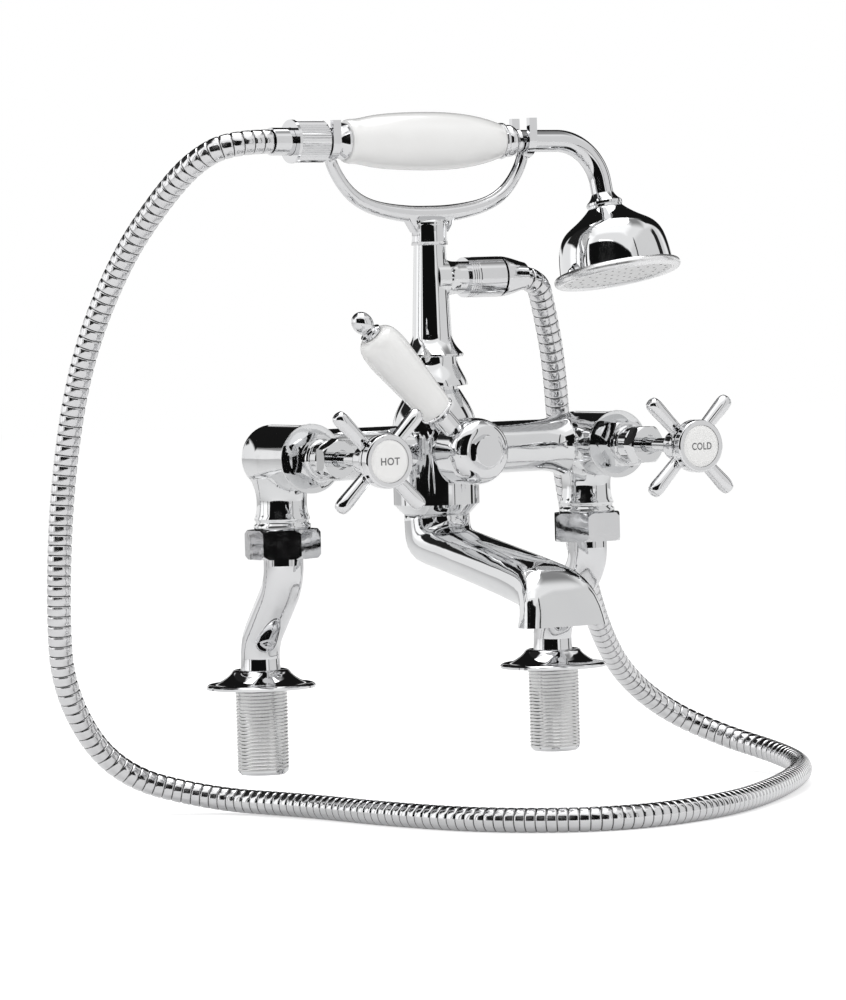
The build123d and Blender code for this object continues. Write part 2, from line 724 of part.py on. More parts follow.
with BuildPart() as column_union:
    turned(body_plane.offset(union_z), union_r, union_h, union_shares)
    rod(body_plane, riser_socket_r - fit_gap, shuttle_high_z + high_wall, union_z)
    bore(body_plane, column_bore_r, shuttle_high_z + high_wall - run_out, column_z + run_out)
save(column_union, "column_union")

with BuildPart() as column:
    turned(body_plane.offset(column_z), column_foot_r, column_foot_h, column_foot_shares)
    shaft_z = column_z + column_foot_h
    shaft_shares = ((0, 0), (1, 0), (column_top_r / column_low_r, 1), (0, 1))
    turned(body_plane.offset(shaft_z), column_low_r, column_top_z - shaft_z, shaft_shares)
    rod(branch_seat, branch_r, 0, branch_end)
    turned(branch_seat, branch_root_r, branch_end, branch_root_shares)
    rod(branch_seat, branch_spigot_r, branch_end, branch_spigot_end)
    bore(body_plane, column_bore_r, column_z - run_out, column_top_z + run_out)
    bore(branch_seat, branch_bore_r, 0, branch_spigot_end + run_out)
save(column, "column")

with BuildPart() as branch_ring:
    rod(branch_seat, ring_r, branch_end, nut_x)
    for line in range(ring_lines):
        line_x = branch_end + ring_h * (line + 1) / (ring_lines + 1)
        half = ring_h * ring_line_share / 2
        with BuildSketch(branch_seat.offset(line_x - half)) as groove:
            Circle(ring_r + run_out)
            Circle(ring_r - ring_line_depth, mode=Mode.SUBTRACT)
        extrude(groove.sketch, amount=2 * half, mode=Mode.SUBTRACT)
    bore(branch_seat, branch_spigot_r + fit_gap, branch_end - run_out, nut_x + run_out)
save(branch_ring, "branch_ring")

with BuildPart() as hose_nut:
    rod(branch_seat, hose_nut_r, nut_x, nut_x + hose_nut_h)
    chamfer(hose_nut.edges(), hose_nut_chamfer)
    bore(branch_seat, branch_spigot_r + fit_gap, nut_x - run_out, branch_spigot_end + hose_washer_h)
    bore(branch_seat, cone_spigot_r + fit_gap, nut_x, nut_x + hose_nut_h + run_out)
save(hose_nut, "hose_nut")

with BuildPart() as hose_washer:
    rod(branch_seat, branch_spigot_r, branch_spigot_end, branch_spigot_end + hose_washer_h)
    washer_end = branch_spigot_end + hose_washer_h
    bore(branch_seat, branch_bore_r, branch_spigot_end - run_out, washer_end + run_out)
save(hose_washer, "hose_washer")

hose_start_x = cone_x + hose_washer_h
with BuildPart() as hose_cone:
    end_share = cone_end_r / hose_nut_r
    cone_shares = ((0, 0), (1, 0), [(0.96, 0.22), (0.80, 0.66), (end_share, 1)], (0, 1))
    turned(branch_seat.offset(cone_x), hose_nut_r, cone_length, cone_shares)
    rod(branch_seat, cone_spigot_r, branch_spigot_end + hose_washer_h, cone_x)
    bore(branch_seat, hose_bore_r, branch_spigot_end, hose_start_x)
    bore(branch_seat, hose_r + fit_gap, hose_start_x, cone_end_x + run_out)
save(hose_cone, "hose_cone")

# Cradle that holds the handset above the column.
cradle_half = 59.5           # middle of each saddle from the column
saddle_z = 283.2             # middle of the saddle's round slot
saddle_slot_r = 7.2
saddle_wall = 3.0
saddle_length = 4.6
saddle_top_z = 294.0
stem_base_r = 9.5
stem_h = 13.0
cradle_plug_h = 6.0
web_half = 14.0
web_h = 5.0
web_deep = 7.0
arm_rise = 30.0              # height of the arms from the stem to the saddles
arm_low_z = 244.6
arm_thick_r = 4.4
cradle_stem_shares = ((0, 0), (1, 0), [(0.96, 0.5), (1.02, 1)], (0, 1))
# Places along an arm: share of the half width, share of the rise, share of the thickness.
cradle_arm_shares = (
    (0, 0, 1), (0.25, 0.02, 0.98), (0.50, 0.105, 0.87), (0.69, 0.245, 0.80), (0.83, 0.465, 0.75),
    (0.93, 0.74, 0.72), (0.985, 1.0, 0.70),
)

with BuildPart() as cradle:
    places = [(-a, b, c) for a, b, c in reversed(cradle_arm_shares[1:])] + list(cradle_arm_shares)
    points = [Vector(cradle_half * a, -body_forward, arm_low_z + arm_rise * b) for a, b, c in places]
    circles = []
    for i, place in enumerate(places):
        before = points[max(i - 1, 0)]
        after = points[min(i + 1, len(points) - 1)]
        with BuildSketch(Plane(points[i], x_dir=(0, 1, 0), z_dir=after - before)) as section:
            Circle(arm_thick_r * place[2])
        circles.append(section.sketch)
    loft(circles)
    turned(body_plane.offset(column_top_z), stem_base_r, stem_h, cradle_stem_shares)
    rod(body_plane, column_bore_r - fit_gap, column_top_z - cradle_plug_h, column_top_z)
    web_low = arm_low_z - arm_thick_r
    with BuildSketch(Plane((0, -body_forward + web_deep / 2, 0), x_dir=(1, 0, 0), z_dir=(0, -1, 0))) as web:
        edge_z = web_low + arm_thick_r / 2
        foot_z = web_low - web_h
        low_corners = ((-stem_base_r, foot_z), (stem_base_r, foot_z))
        Polygon((-web_half, edge_z), *low_corners, (web_half, edge_z), (0, arm_low_z), align=None)
    extrude(web.sketch, amount=web_deep)
    outer_r = saddle_slot_r + saddle_wall
    for side in sides.values():
        slab_x = side * cradle_half - saddle_length / 2
        slab = Plane((slab_x, -body_forward, saddle_z), x_dir=(0, 1, 0), z_dir=(1, 0, 0))
        with BuildSketch(slab) as saddle:
            Circle(outer_r)
            with Locations((0, (saddle_top_z - saddle_z) / 2)):
                Rectangle(2 * outer_r, saddle_top_z - saddle_z)
            Circle(saddle_slot_r, mode=Mode.SUBTRACT)
            with Locations((0, (saddle_top_z - saddle_z + run_out) / 2)):
                Rectangle(2 * saddle_slot_r, saddle_top_z - saddle_z + run_out, mode=Mode.SUBTRACT)
        extrude(saddle.sketch, amount=saddle_length)
        bore(slab, saddle_slot_r, -saddle_length, 2 * saddle_length)
save(cradle, "cradle")

# Handset, level but for the small fall between its two necks.
tail_neck_r = 7.0            # neck that lies in the hot-side saddle
pipe_r = 5.8                 # pipe that lies in the cold-side saddle
pipe_bore_r = 4.2
rest_gap = 0.3
fall = math.asin((tail_neck_r - pipe_r) / (2 * cradle_half))
handset_z = saddle_z - saddle_slot_r + rest_gap + (tail_neck_r + pipe_r) / 2
along = Vector(math.cos(fall), 0, -math.sin(fall))
handset_seat = Plane((0, -body_forward, handset_z), x_dir=(0, 1, 0), z_dir=along)

grip_left = 49.5             # ends of the porcelain grip, from the column
grip_right = 44.5
handle_r = 15.2
core_r = 5.0
tail_left = 63.2
tail_length = 13.7
tail_spigot_r = 7.6
tail_spigot_h = 12.0
tail_r_wide = 9.6
swivel_r = 10.9
swivel_length = 18.9
swivel_ridges = 56
ridge_depth = 0.35
swivel_lip_h = 1.6
ferrule_r = 7.1
ferrule_length = 11.5
ferrule_flange_r = 8.8
ferrule_flange_h = 2.0
collar_end = 55.5
collar_bead_r = 9.5
pipe_corner = 102.7          # corner of the bent pipe, from the column
pipe_bend_r = 24.0
head_drop = 29.2             # corner of the pipe to the top of the head
head_lean = (0.055, -0.215, -1.0)            # way the head points
head_r = 30.3
head_h = 41.0
head_neck_r = 9.6
head_neck_h = 7.7
head_wall = 1.4
rim_r = 31.4
rim_tube_r = 2.6
rim_drop = 43.2
plate_r = 29.0
plate_h = 1.6
spray_hole_r = 0.7
spray_rings = ((0, 1), (0.24, 6), (0.47, 12), (0.70, 18), (0.90, 24))
handle_shares = (
    (0, 0), (0.70, 0),
    [
        (0.745, 0.015), (0.765, 0.05), (0.86, 0.15), (0.965, 0.31), (1, 0.49), (0.975, 0.67),
        (0.86, 0.83), (0.72, 0.93), (0.60, 0.99),
    ],
    (0.57, 1), (0, 1),
)
tail_shares = (
    (0, 0), (0.90, 0), (0.90, 0.025), [(0.80, 0.05), (0.73, 0.07)], (0.73, 0.49),
    [(0.76, 0.62), (0.90, 0.78), (1, 0.86)], (1, 0.96), (0.97, 1), (0, 1),
)
collar_bead_shares = (
    (0, 0), (0.96, 0), (1, 0.04), (1, 0.12), (0.60, 0.18),
    [(0.78, 0.24), (0.89, 0.48), (0.78, 0.72), (0.56, 0.82)], (0.62, 0.88), (0.66, 1), (0, 1),
)
neck_shares = (
    (0, 0), (0.62, 0), [(0.70, 0.20), (0.95, 0.55)], (1, 0.62), (1, 0.80), (0.94, 0.84), (0.96, 1), (0, 1),
)
bell_shares = (
    (0, 0), (0.31, 0),
    [(0.43, 0.10), (0.595, 0.21), (0.79, 0.335), (0.90, 0.475), (0.955, 0.64), (0.99, 0.875), (1, 1)],
    (0, 1),
)

with BuildPart() as handset_grip:
    turned(handset_seat.offset(-grip_left), handle_r, grip_left + grip_right, handle_shares)
    bore(handset_seat, core_r + fit_gap, -grip_left - run_out, grip_right + run_out)
save(handset_grip, "handset_grip")

tail_seat = handset_seat.offset(-tail_left)
with BuildPart() as handset_tail:
    turned(tail_seat, tail_r_wide, tail_length, tail_shares)
    rod(tail_seat, tail_spigot_r, -tail_spigot_h, 0)
    rod(handset_seat, core_r, -tail_left, grip_right)
    bore(handset_seat, pipe_bore_r, -tail_left - tail_spigot_h - run_out, grip_right + run_out)
save(handset_tail, "handset_tail")

with BuildPart() as handset_collar:
    turned(handset_seat.offset(grip_right), collar_bead_r, collar_end - grip_right, collar_bead_shares)
    bore(handset_seat, pipe_bore_r, grip_right - run_out, collar_end + run_out)
save(handset_collar, "handset_collar")

head_way = Vector(*head_lean).normalized()
corner = handset_seat.origin + along * pipe_corner
head_top = corner + head_way * head_drop
head_seat = Plane(head_top, x_dir=along.cross(head_way), z_dir=head_way)
pipe_start = handset_seat.origin + along * collar_end
pipe_end = head_top + head_way * head_neck_h / 2
with BuildPart() as handset_pipe:
    with BuildLine() as pipe_path:
        FilletPolyline(pipe_start, corner, pipe_end, radius=pipe_bend_r)
    with BuildSketch(Plane(pipe_start, x_dir=(0, 1, 0), z_dir=along)) as pipe_ring:
        Circle(pipe_r)
        Circle(pipe_bore_r, mode=Mode.SUBTRACT)
    sweep(pipe_ring.sketch, path=pipe_path.line)
save(handset_pipe, "handset_pipe")

with BuildPart() as shower_head:
    turned(head_seat, head_neck_r, head_neck_h, neck_shares)
    turned(head_seat.offset(head_neck_h), head_r, head_h - head_neck_h, bell_shares)
    inner_r = head_r - head_wall
    inner_h = head_h - head_neck_h - head_wall
    turned(head_seat.offset(head_neck_h + head_wall), inner_r, inner_h, bell_shares, mode=Mode.SUBTRACT)
    bore(head_seat, pipe_r + fit_gap, -run_out, head_neck_h / 2)
    bore(head_seat, pipe_bore_r, 0, head_neck_h + 2 * head_wall)
save(shower_head, "shower_head")

rim_seat = head_seat.offset(rim_drop)
with BuildPart() as head_rim:
    with BuildSketch(Plane(rim_seat.origin, x_dir=rim_seat.x_dir, z_dir=-rim_seat.y_dir)) as rim_section:
        with Locations((rim_r, 0)):
            Circle(rim_tube_r)
        with Locations((rim_r - rim_tube_r, 0)):
            Rectangle(2 * (rim_r - plate_r) + rim_tube_r / 2, plate_h, align=(Align.CENTER, Align.MIN))
    revolve(rim_section.sketch, axis=Axis(rim_seat.origin, rim_seat.z_dir))
    bore(rim_seat, plate_r, -rim_tube_r - run_out, rim_tube_r + run_out)
    bell_h = head_h - head_neck_h
    turned(head_seat.offset(head_neck_h), head_r + fit_gap, bell_h + fit_gap, bell_shares, mode=Mode.SUBTRACT)
save(head_rim, "head_rim")

with BuildPart() as spray_plate:
    rod(rim_seat, plate_r - fit_gap, 0, plate_h)
    for ring, count in spray_rings:
        with BuildSketch(rim_seat.offset(-run_out)) as spray:
            with PolarLocations(plate_r * ring, count):
                Circle(spray_hole_r)
        extrude(spray.sketch, amount=plate_h + 2 * run_out, mode=Mode.SUBTRACT)
save(spray_plate, "spray_plate")

swivel_seat = handset_seat.offset(-tail_left - swivel_length)
swivel_wall = 2.2
with BuildPart() as swivel_nut:
    points = []
    for i in range(2 * swivel_ridges):
        turn = math.pi * i / swivel_ridges
        edge = swivel_r - (ridge_depth if i % 2 else 0)
        points.append((edge * math.cos(turn), edge * math.sin(turn)))
    with BuildSketch(swivel_seat) as knurl:
        Polygon(*points, align=None)
    extrude(knurl.sketch, amount=swivel_length)
    rod(swivel_seat, swivel_r + ridge_depth, 0, swivel_lip_h)
    bore(swivel_seat, ferrule_r + turn_gap, -run_out, swivel_wall)
    bore(swivel_seat, ferrule_flange_r + turn_gap, swivel_wall, swivel_length - tail_spigot_h)
    bore(swivel_seat, tail_spigot_r + fit_gap, swivel_wall, swivel_length + run_out)
save(swivel_nut, "swivel_nut")

ferrule_seat = swivel_seat.offset(swivel_wall)
swivel_washer_h = swivel_length - tail_spigot_h - swivel_wall - ferrule_flange_h
with BuildPart() as hose_ferrule:
    rod(ferrule_seat, ferrule_r, -ferrule_length - swivel_wall, 0)
    rod(ferrule_seat, ferrule_flange_r, 0, ferrule_flange_h)
    bore(ferrule_seat, hose_bore_r, -ferrule_length - swivel_wall - run_out, ferrule_flange_h + run_out)
save(hose_ferrule, "hose_ferrule")

with BuildPart() as swivel_washer:
    washer_end = ferrule_flange_h + swivel_washer_h
    rod(ferrule_seat, tail_spigot_r, ferrule_flange_h, washer_end)
    bore(ferrule_seat, hose_bore_r, ferrule_flange_h - run_out, washer_end + run_out)
save(swivel_washer, "swivel_washer")

# Ribbed hose from the outlet of the column round to the ferrule.
# Corners of its route: behind the cold valve, down in front of the deck, and up on the hot side.
hose_route = (
    (44.2, -33, 211), (65, -33, 211), (74.5, -24.5, 194.5), (84, -18, 166), (95, -4, 126),
    (111, 10, 78), (130, 28, 42), (153, 50, 12), (180, 70, -14), (212, 77, -36),
    (238, 60, -51), (250, 24, -59), (238, -18, -62), (204, -66, -62), (154, -112, -64),
    (92, -158, -64), (20, -176, -64), (-32, -136, -64), (-54, -68, -64), (-63, 6, -64),
    (-88, 62, -63), (-134, 84, -48), (-166, 78, -4), (-172, 70, 44), (-168, 68, 112),
    (-162, 54, 174), (-149, 32, 224), (-138, 8, 254), (-130, -16, 274), (-117, -33, 283.8),
    (-93.9, -33, 283.6),
)
hose_ribs = 190
bend_share = 0.45
# Along one rib: share of its length, share of its height.
rib_shares = ((0, 0), (0.12, 1), (0.76, 1), (0.88, 0))


def route_radii(points):
    """The radius at each corner, as large as the shorter run beside it allows."""
    radii = []
    for before, here, after in zip(points, points[1:], points[2:]):
        way_in = Vector(here) - Vector(before)
        way_out = Vector(after) - Vector(here)
        half_turn = math.radians(way_in.get_angle(way_out)) / 2
        radii.append(bend_share * min(way_in.length, way_out.length) / math.tan(half_turn))
    return radii


hose_radii = route_radii(hose_route)
with BuildPart() as shower_hose:
    with BuildLine() as hose_line:
        FilletPolyline(*hose_route, radius=hose_radii)
    hose_path = hose_line.wire()
    steps = [(rib + share, rise) for rib in range(hose_ribs) for share, rise in rib_shares] + [(hose_ribs, 0)]
    across = branch_seat.x_dir
    rings = []
    for step, rise in steps:
        here = hose_path.position_at(step / hose_ribs)
        ahead = hose_path.tangent_at(step / hose_ribs)
        across = (across - ahead * across.dot(ahead)).normalized()
        with BuildSketch(Plane(here, x_dir=across, z_dir=ahead)) as ring:
            Circle(hose_plain_r + (hose_r - hose_plain_r) * rise)
        rings.append(ring.sketch)
    loft(rings, ruled=True)
    ribbed_volume = shower_hose.part.volume
    with BuildSketch(Plane(hose_route[0], x_dir=branch_seat.x_dir, z_dir=branch_seat.z_dir)) as water:
        Circle(hose_bore_r)
    sweep(water.sketch, path=hose_line.line, mode=Mode.SUBTRACT)
    bore_volume = ribbed_volume - shower_hose.part.volume
save(shower_hose, "shower_hose")

print("hose length", round(hose_path.length), "bend radii", [round(radius) for radius in hose_radii])
full_volume = math.pi * hose_r**2 * hose_path.length
print("hose volume to section times length, outside", round(ribbed_volume / full_volume, 3))
print("bore", round(bore_volume / (math.pi * hose_bore_r**2 * hose_path.length), 3))
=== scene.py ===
import math

import bmesh
import bpy
from mathutils import Matrix, Vector, kdtree


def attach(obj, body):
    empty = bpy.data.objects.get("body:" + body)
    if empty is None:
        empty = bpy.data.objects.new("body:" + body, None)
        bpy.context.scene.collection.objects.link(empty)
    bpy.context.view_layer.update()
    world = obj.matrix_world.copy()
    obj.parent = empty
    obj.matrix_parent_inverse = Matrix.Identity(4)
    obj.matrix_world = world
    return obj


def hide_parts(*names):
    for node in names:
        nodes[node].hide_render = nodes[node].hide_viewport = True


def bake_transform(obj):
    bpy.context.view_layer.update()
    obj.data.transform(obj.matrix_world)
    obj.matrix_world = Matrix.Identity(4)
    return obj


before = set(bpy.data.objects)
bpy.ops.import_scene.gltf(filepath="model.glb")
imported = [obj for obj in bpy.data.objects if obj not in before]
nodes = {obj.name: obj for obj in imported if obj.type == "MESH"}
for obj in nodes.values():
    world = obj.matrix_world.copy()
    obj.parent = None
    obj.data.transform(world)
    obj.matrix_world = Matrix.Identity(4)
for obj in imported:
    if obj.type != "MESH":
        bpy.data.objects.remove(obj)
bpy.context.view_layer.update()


# ---- Camera ----
# It stands where the photograph was taken from: to the hot side of the bather,
# 2.9 m away, and a little above the deck.

camera_place = Vector((-1.4470, -2.4610, 0.2206))
camera_ahead = Vector((0.50927, 0.85946, -0.04440))
camera_top = Vector((0.04622, 0.02421, 0.99864))
camera_lens = 194.2          # mm, on a sensor whose long side is 36 mm

camera_side = camera_ahead.cross(camera_top).normalized()
camera_top = camera_side.cross(camera_ahead).normalized()
camera_data = bpy.data.cameras.new("camera")
camera_data.lens = camera_lens
camera_data.sensor_width = 36
camera_data.clip_start = 0.1
camera_data.clip_end = 30
camera = bpy.data.objects.new("camera", camera_data)
bpy.context.scene.collection.objects.link(camera)
camera_turn = Matrix((camera_side, camera_top, -camera_ahead)).transposed().to_4x4()
camera.matrix_world = Matrix.Translation(camera_place) @ camera_turn
bpy.context.scene.camera = camera


# ---- Deck flanges and legs ----
# Two cranked brass tubes carry the mixer. Each stands in a bell-shaped flange that covers its
# tap hole, and goes on below the deck as a threaded tail. All are buffed and chrome plated.

tail_x = 0.090
tail_radius = 0.0132
tail_low_z = -0.0440
thread_pitch = 0.001814
thread_turns = 23
thread_steps = 48            # to one turn
thread_edge = math.radians(40)
# One ridge of the thread: out from the tail's surface, and up, both as shares of the pitch.
thread_ridge = (
    (-0.06, 0.00), (0.00, 0.06), (0.20, 0.40), (0.23, 0.50), (0.20, 0.60), (0.00, 0.94),
    (-0.06, 1.00),
)
same_point = 0.000005        # points of a modelled skin that lie nearer than this are one


def patches(tree, scale, detail, one, other):
    """Two colours that pass into each other in soft patches, so many to a metre."""
    noise = tree.nodes.new("ShaderNodeTexNoise")
    noise.inputs["Scale"].default_value = scale
    noise.inputs["Detail"].default_value = detail
    tone = tree.nodes.new("ShaderNodeMix")
    tone.data_type = "RGBA"
    tone.inputs["A"].default_value = (*one, 1)
    tone.inputs["B"].default_value = (*other, 1)
    tree.links.new(tree.nodes["Texture Coordinate"].outputs["Object"], noise.inputs["Vector"])
    tree.links.new(noise.outputs["Fac"], tone.inputs["Factor"])
    tree.links.new(tone.outputs["Result"], tree.nodes["Principled BSDF"].inputs["Base Color"])


def swells(tree, scale, detail, depth):
    """A surface that isn't quite true: soft swells of one depth, so many to a metre."""
    noise = tree.nodes.new("ShaderNodeTexNoise")
    noise.inputs["Scale"].default_value = scale
    noise.inputs["Detail"].default_value = detail
    bump = tree.nodes.new("ShaderNodeBump")
    bump.name = "swells"
    bump.inputs["Strength"].default_value = 1
    bump.inputs["Distance"].default_value = depth
    tree.links.new(tree.nodes["Texture Coordinate"].outputs["Object"], noise.inputs["Vector"])
    tree.links.new(noise.outputs["Fac"], bump.inputs["Height"])
    tree.links.new(bump.outputs["Normal"], tree.nodes["Principled BSDF"].inputs["Normal"])


def new_finish(name):
    """A plain material that reads the object's own coordinates."""
    finish = bpy.data.materials.new(name)
    finish.use_nodes = True
    finish.node_tree.nodes.new("ShaderNodeTexCoord")
    return finish


def plated(name, bright, dark, gloss, dull, ripple, ripple_size):
    """Bright plating over polished brass. The tint and gloss drift a little, and the buffed
    surface is not quite true, so what it mirrors bends by a small ripple of a given size."""
    tint_patches = 45            # to a metre
    wipe_marks = 160             # to a metre
    clean, wiped = 0.35, 0.75    # levels of the wipe marks, from full gloss to dull

    finish = new_finish(name)
    tree = finish.node_tree
    shader = tree.nodes["Principled BSDF"]
    shader.inputs["Metallic"].default_value = 1
    patches(tree, tint_patches, 3, dark, bright)
    swells(tree, 1 / ripple_size, 1, ripple)

    marks = tree.nodes.new("ShaderNodeTexNoise")
    marks.inputs["Scale"].default_value = wipe_marks
    marks.inputs["Detail"].default_value = 6
    marks.inputs["Roughness"].default_value = 0.6
    spread = tree.nodes.new("ShaderNodeMapRange")
    spread.inputs["From Min"].default_value = clean
    spread.inputs["From Max"].default_value = wiped
    spread.inputs["To Min"].default_value = gloss
    spread.inputs["To Max"].default_value = dull
    tree.links.new(tree.nodes["Texture Coordinate"].outputs["Object"], marks.inputs["Vector"])
    tree.links.new(marks.outputs["Fac"], spread.inputs["Value"])
    tree.links.new(spread.outputs["Result"], shader.inputs["Roughness"])
    return finish


def dress(finish, *names):
    """Give solids of the part their finish."""
    for name in names:
        for slot in range(len(nodes[name].data.materials)):
            nodes[name].data.materials[slot] = finish


def add_piece(name, skin, finish, sharp_edge=None):
    """An object of a modelled skin, smooth but for the edges that are sharper than sharp_edge."""
    mesh = bpy.data.meshes.new(name)
    skin.to_mesh(mesh)
    skin.free()
    mesh.shade_smooth()
    if sharp_edge is not None:
        mesh.set_sharp_from_angle(angle=sharp_edge)
    mesh.materials.append(finish)
    piece = bpy.data.objects.new(name, mesh)
    bpy.context.scene.collection.objects.link(piece)
    return piece


leg_chrome = plated(
    "leg_chrome", bright=(0.77, 0.77, 0.78), dark=(0.70, 0.705, 0.715), gloss=0.02, dull=0.07,
    ripple=0.00010, ripple_size=0.025,
)
dress(leg_chrome, "hot_leg", "cold_leg")
tail_chrome = plated(
    "tail_chrome", bright=(0.72, 0.72, 0.72), dark=(0.62, 0.62, 0.615), gloss=0.12, dull=0.26,
    ripple=0.00003, ripple_size=0.004,
)
for side, axis_x in (("hot", -tail_x), ("cold", tail_x)):
    skin = bmesh.new()
    ridge = []
    for out, up in thread_ridge:
        corner = (axis_x + tail_radius + out * thread_pitch, 0, tail_low_z + up * thread_pitch)
        ridge.append(skin.verts.new(corner))
    lines = [skin.edges.new(pair) for pair in zip(ridge, ridge[1:])]
    bmesh.ops.spin(
        skin, geom=ridge + lines, cent=(axis_x, 0, 0), axis=(0, 0, 1),
        dvec=(0, 0, thread_pitch / thread_steps), angle=2 * math.pi * thread_turns,
        steps=thread_steps * thread_turns,
    )
    bmesh.ops.remove_doubles(skin, verts=skin.verts, dist=same_point)
    ends = [edge for edge in skin.edges if edge.is_boundary]
    bmesh.ops.holes_fill(skin, edges=ends, sides=len(ridge))
    bmesh.ops.recalc_face_normals(skin, faces=skin.faces)
    thread = add_piece(side + "_thread", skin, tail_chrome, thread_edge)
    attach(thread, "mixer")
flange_chrome = plated(
    "flange_chrome", bright=(0.77, 0.77, 0.78), dark=(0.71, 0.715, 0.725), gloss=0.02, dull=0.06,
    ripple=0.00004, ripple_size=0.02,
)
dress(flange_chrome, "hot_flange", "cold_flange")


# ---- Union nuts and their washers ----
# A hexagonal nut draws each valve inlet down on its leg. The flats are milled, so they keep a
# faint grain under the plating. A black rubber washer seals the joint inside.

nut_chrome = plated(
    "nut_chrome", bright=(0.76, 0.76, 0.77), dark=(0.67, 0.675, 0.685), gloss=0.03, dull=0.12,
    ripple=0.00003, ripple_size=0.004,
)
dress(nut_chrome, "hot_union_nut", "cold_union_nut")


def moulded(name, light, dark, grain, depth):
    """Moulded rubber: matt, nearly black, with a fine grain and dusty paler patches."""
    dusty_patches = 300          # to a metre
    finish = new_finish(name)
    tree = finish.node_tree
    tree.nodes["Principled BSDF"].inputs["Roughness"].default_value = 0.6
    patches(tree, dusty_patches, 4, dark, light)
    swells(tree, 1 / grain, 2, depth)
    return finish


washer_rubber = moulded(
    "washer_rubber", light=(0.055, 0.055, 0.055), dark=(0.020, 0.020, 0.020), grain=0.0004,
    depth=0.00002,
)
dress(washer_rubber, "hot_union_washer", "cold_union_washer")


# ---- Body casting and bath spout ----
# One brass casting holds both valve chambers, the bar between them and the middle barrel. The
# spout is brazed on below. Both were ground and buffed by hand, so their mirror wavers most,
# and only the barrel with the bar beside it kept its true turned surface.

buffed_edge = math.radians(38)       # the wheel takes away every edge that is blunter than this
buffed_seam = 0.00002                # corners of a solid's faces that lie nearer than this are one
barrel_half = 0.062                  # how far from its middle the casting keeps that surface


def keep_true(mesh, solid, half):
    """Shade a buffed piece as true as its solid, as far as half from the middle, left to right."""
    corners = kdtree.KDTree(len(solid.loops))
    for corner in solid.loops:
        corners.insert(solid.vertices[corner.vertex_index].co, corner.index)
    corners.balance()
    shading = [corner.vector.copy() for corner in mesh.corner_normals]
    for face in mesh.polygons:
        for corner in face.loop_indices:
            spot = mesh.vertices[mesh.loops[corner].vertex_index].co
            if abs(spot.x) < half:
                near = corners.find_range(spot, 1.5 * buffed_seam)
                normals = [solid.corner_normals[index].vector for _, index, _ in near]
                shading[corner] = max(normals, key=face.normal.dot, default=shading[corner])
    mesh.normals_split_custom_set(shading)


def buffed(node, name, finish, body, true_half=0.0):
    """The solid as the buffing wheel leaves it: one skin with its blunter edges rubbed away."""
    dress(finish, node)
    skin = bmesh.new()
    skin.from_mesh(nodes[node].data)
    bmesh.ops.remove_doubles(skin, verts=skin.verts, dist=buffed_seam)
    piece = add_piece(name, skin, finish, buffed_edge)
    keep_true(piece.data, nodes[node].data, true_half)
    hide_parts(node)
    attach(piece, body)


cast_chrome = plated(
    "cast_chrome", bright=(0.77, 0.775, 0.78), dark=(0.70, 0.705, 0.715), gloss=0.02, dull=0.07,
    ripple=0.00045, ripple_size=0.028,
)
buffed("tap_body", "casting", cast_chrome, "mixer", true_half=barrel_half)
spout_chrome = plated(
    "spout_chrome", bright=(0.77, 0.775, 0.78), dark=(0.70, 0.705, 0.715), gloss=0.02, dull=0.08,
    ripple=0.00050, ripple_size=0.026,
)
buffed("spout", "bath_spout", spout_chrome, "mixer")


# ---- Headworks ----
# The bonnets screw into the chambers, and packing nuts close them round the spindles. They are
# turned from bar on a lathe, which leaves fine rings about each valve's axis.

valve_x = 0.093
valve_z = 0.121
valves = (("hot", -valve_x), ("cold", valve_x))


def turned(name, bright, dark, gloss, dull, axis_x, axis_z, ring_gap, ring_depth):
    """A finish turned on a lathe: fine rings about an axis that runs from front to back."""
    bar_ripple = 0.01            # size of the ripple that the bar keeps under its rings
    one_ring = 2 * math.pi / 20  # the wave texture's scale that gives one ring to a metre
    finish = plated(name, bright, dark, gloss, dull, ring_depth, bar_ripple)
    tree = finish.node_tree
    centred = tree.nodes.new("ShaderNodeMapping")
    centred.inputs["Location"].default_value = (-axis_x, 0, -axis_z)
    rings = tree.nodes.new("ShaderNodeTexWave")
    rings.wave_type = "RINGS"
    rings.rings_direction = "Y"
    rings.inputs["Scale"].default_value = one_ring / ring_gap
    rings.inputs["Distortion"].default_value = 0.4
    rings.inputs["Detail"].default_value = 2
    tool_marks = tree.nodes.new("ShaderNodeBump")
    tool_marks.inputs["Strength"].default_value = 1
    tool_marks.inputs["Distance"].default_value = ring_depth
    tree.links.new(tree.nodes["Texture Coordinate"].outputs["Object"], centred.inputs["Vector"])
    tree.links.new(centred.outputs["Vector"], rings.inputs["Vector"])
    tree.links.new(rings.outputs["Fac"], tool_marks.inputs["Height"])
    tree.links.new(tree.nodes["swells"].outputs["Normal"], tool_marks.inputs["Normal"])
    tree.links.new(tool_marks.outputs["Normal"], tree.nodes["Principled BSDF"].inputs["Normal"])
    return finish


for side, axis_x in valves:
    head_chrome = turned(
        side + "_headwork_chrome", bright=(0.76, 0.765, 0.77), dark=(0.69, 0.695, 0.705),
        gloss=0.03, dull=0.10, axis_x=axis_x, axis_z=valve_z, ring_gap=0.0005,
        ring_depth=0.0000010,
    )
    dress(head_chrome, side + "_bonnet", side + "_gland_nut", side + "_spindle")


# ---- Cross heads and bezels ----
# Each handle is a turned hub with four round arms that swell a little towards their domed ends,
# brazed in and plated. A ring on its face holds the porcelain button.

hub_back_y = -0.1200
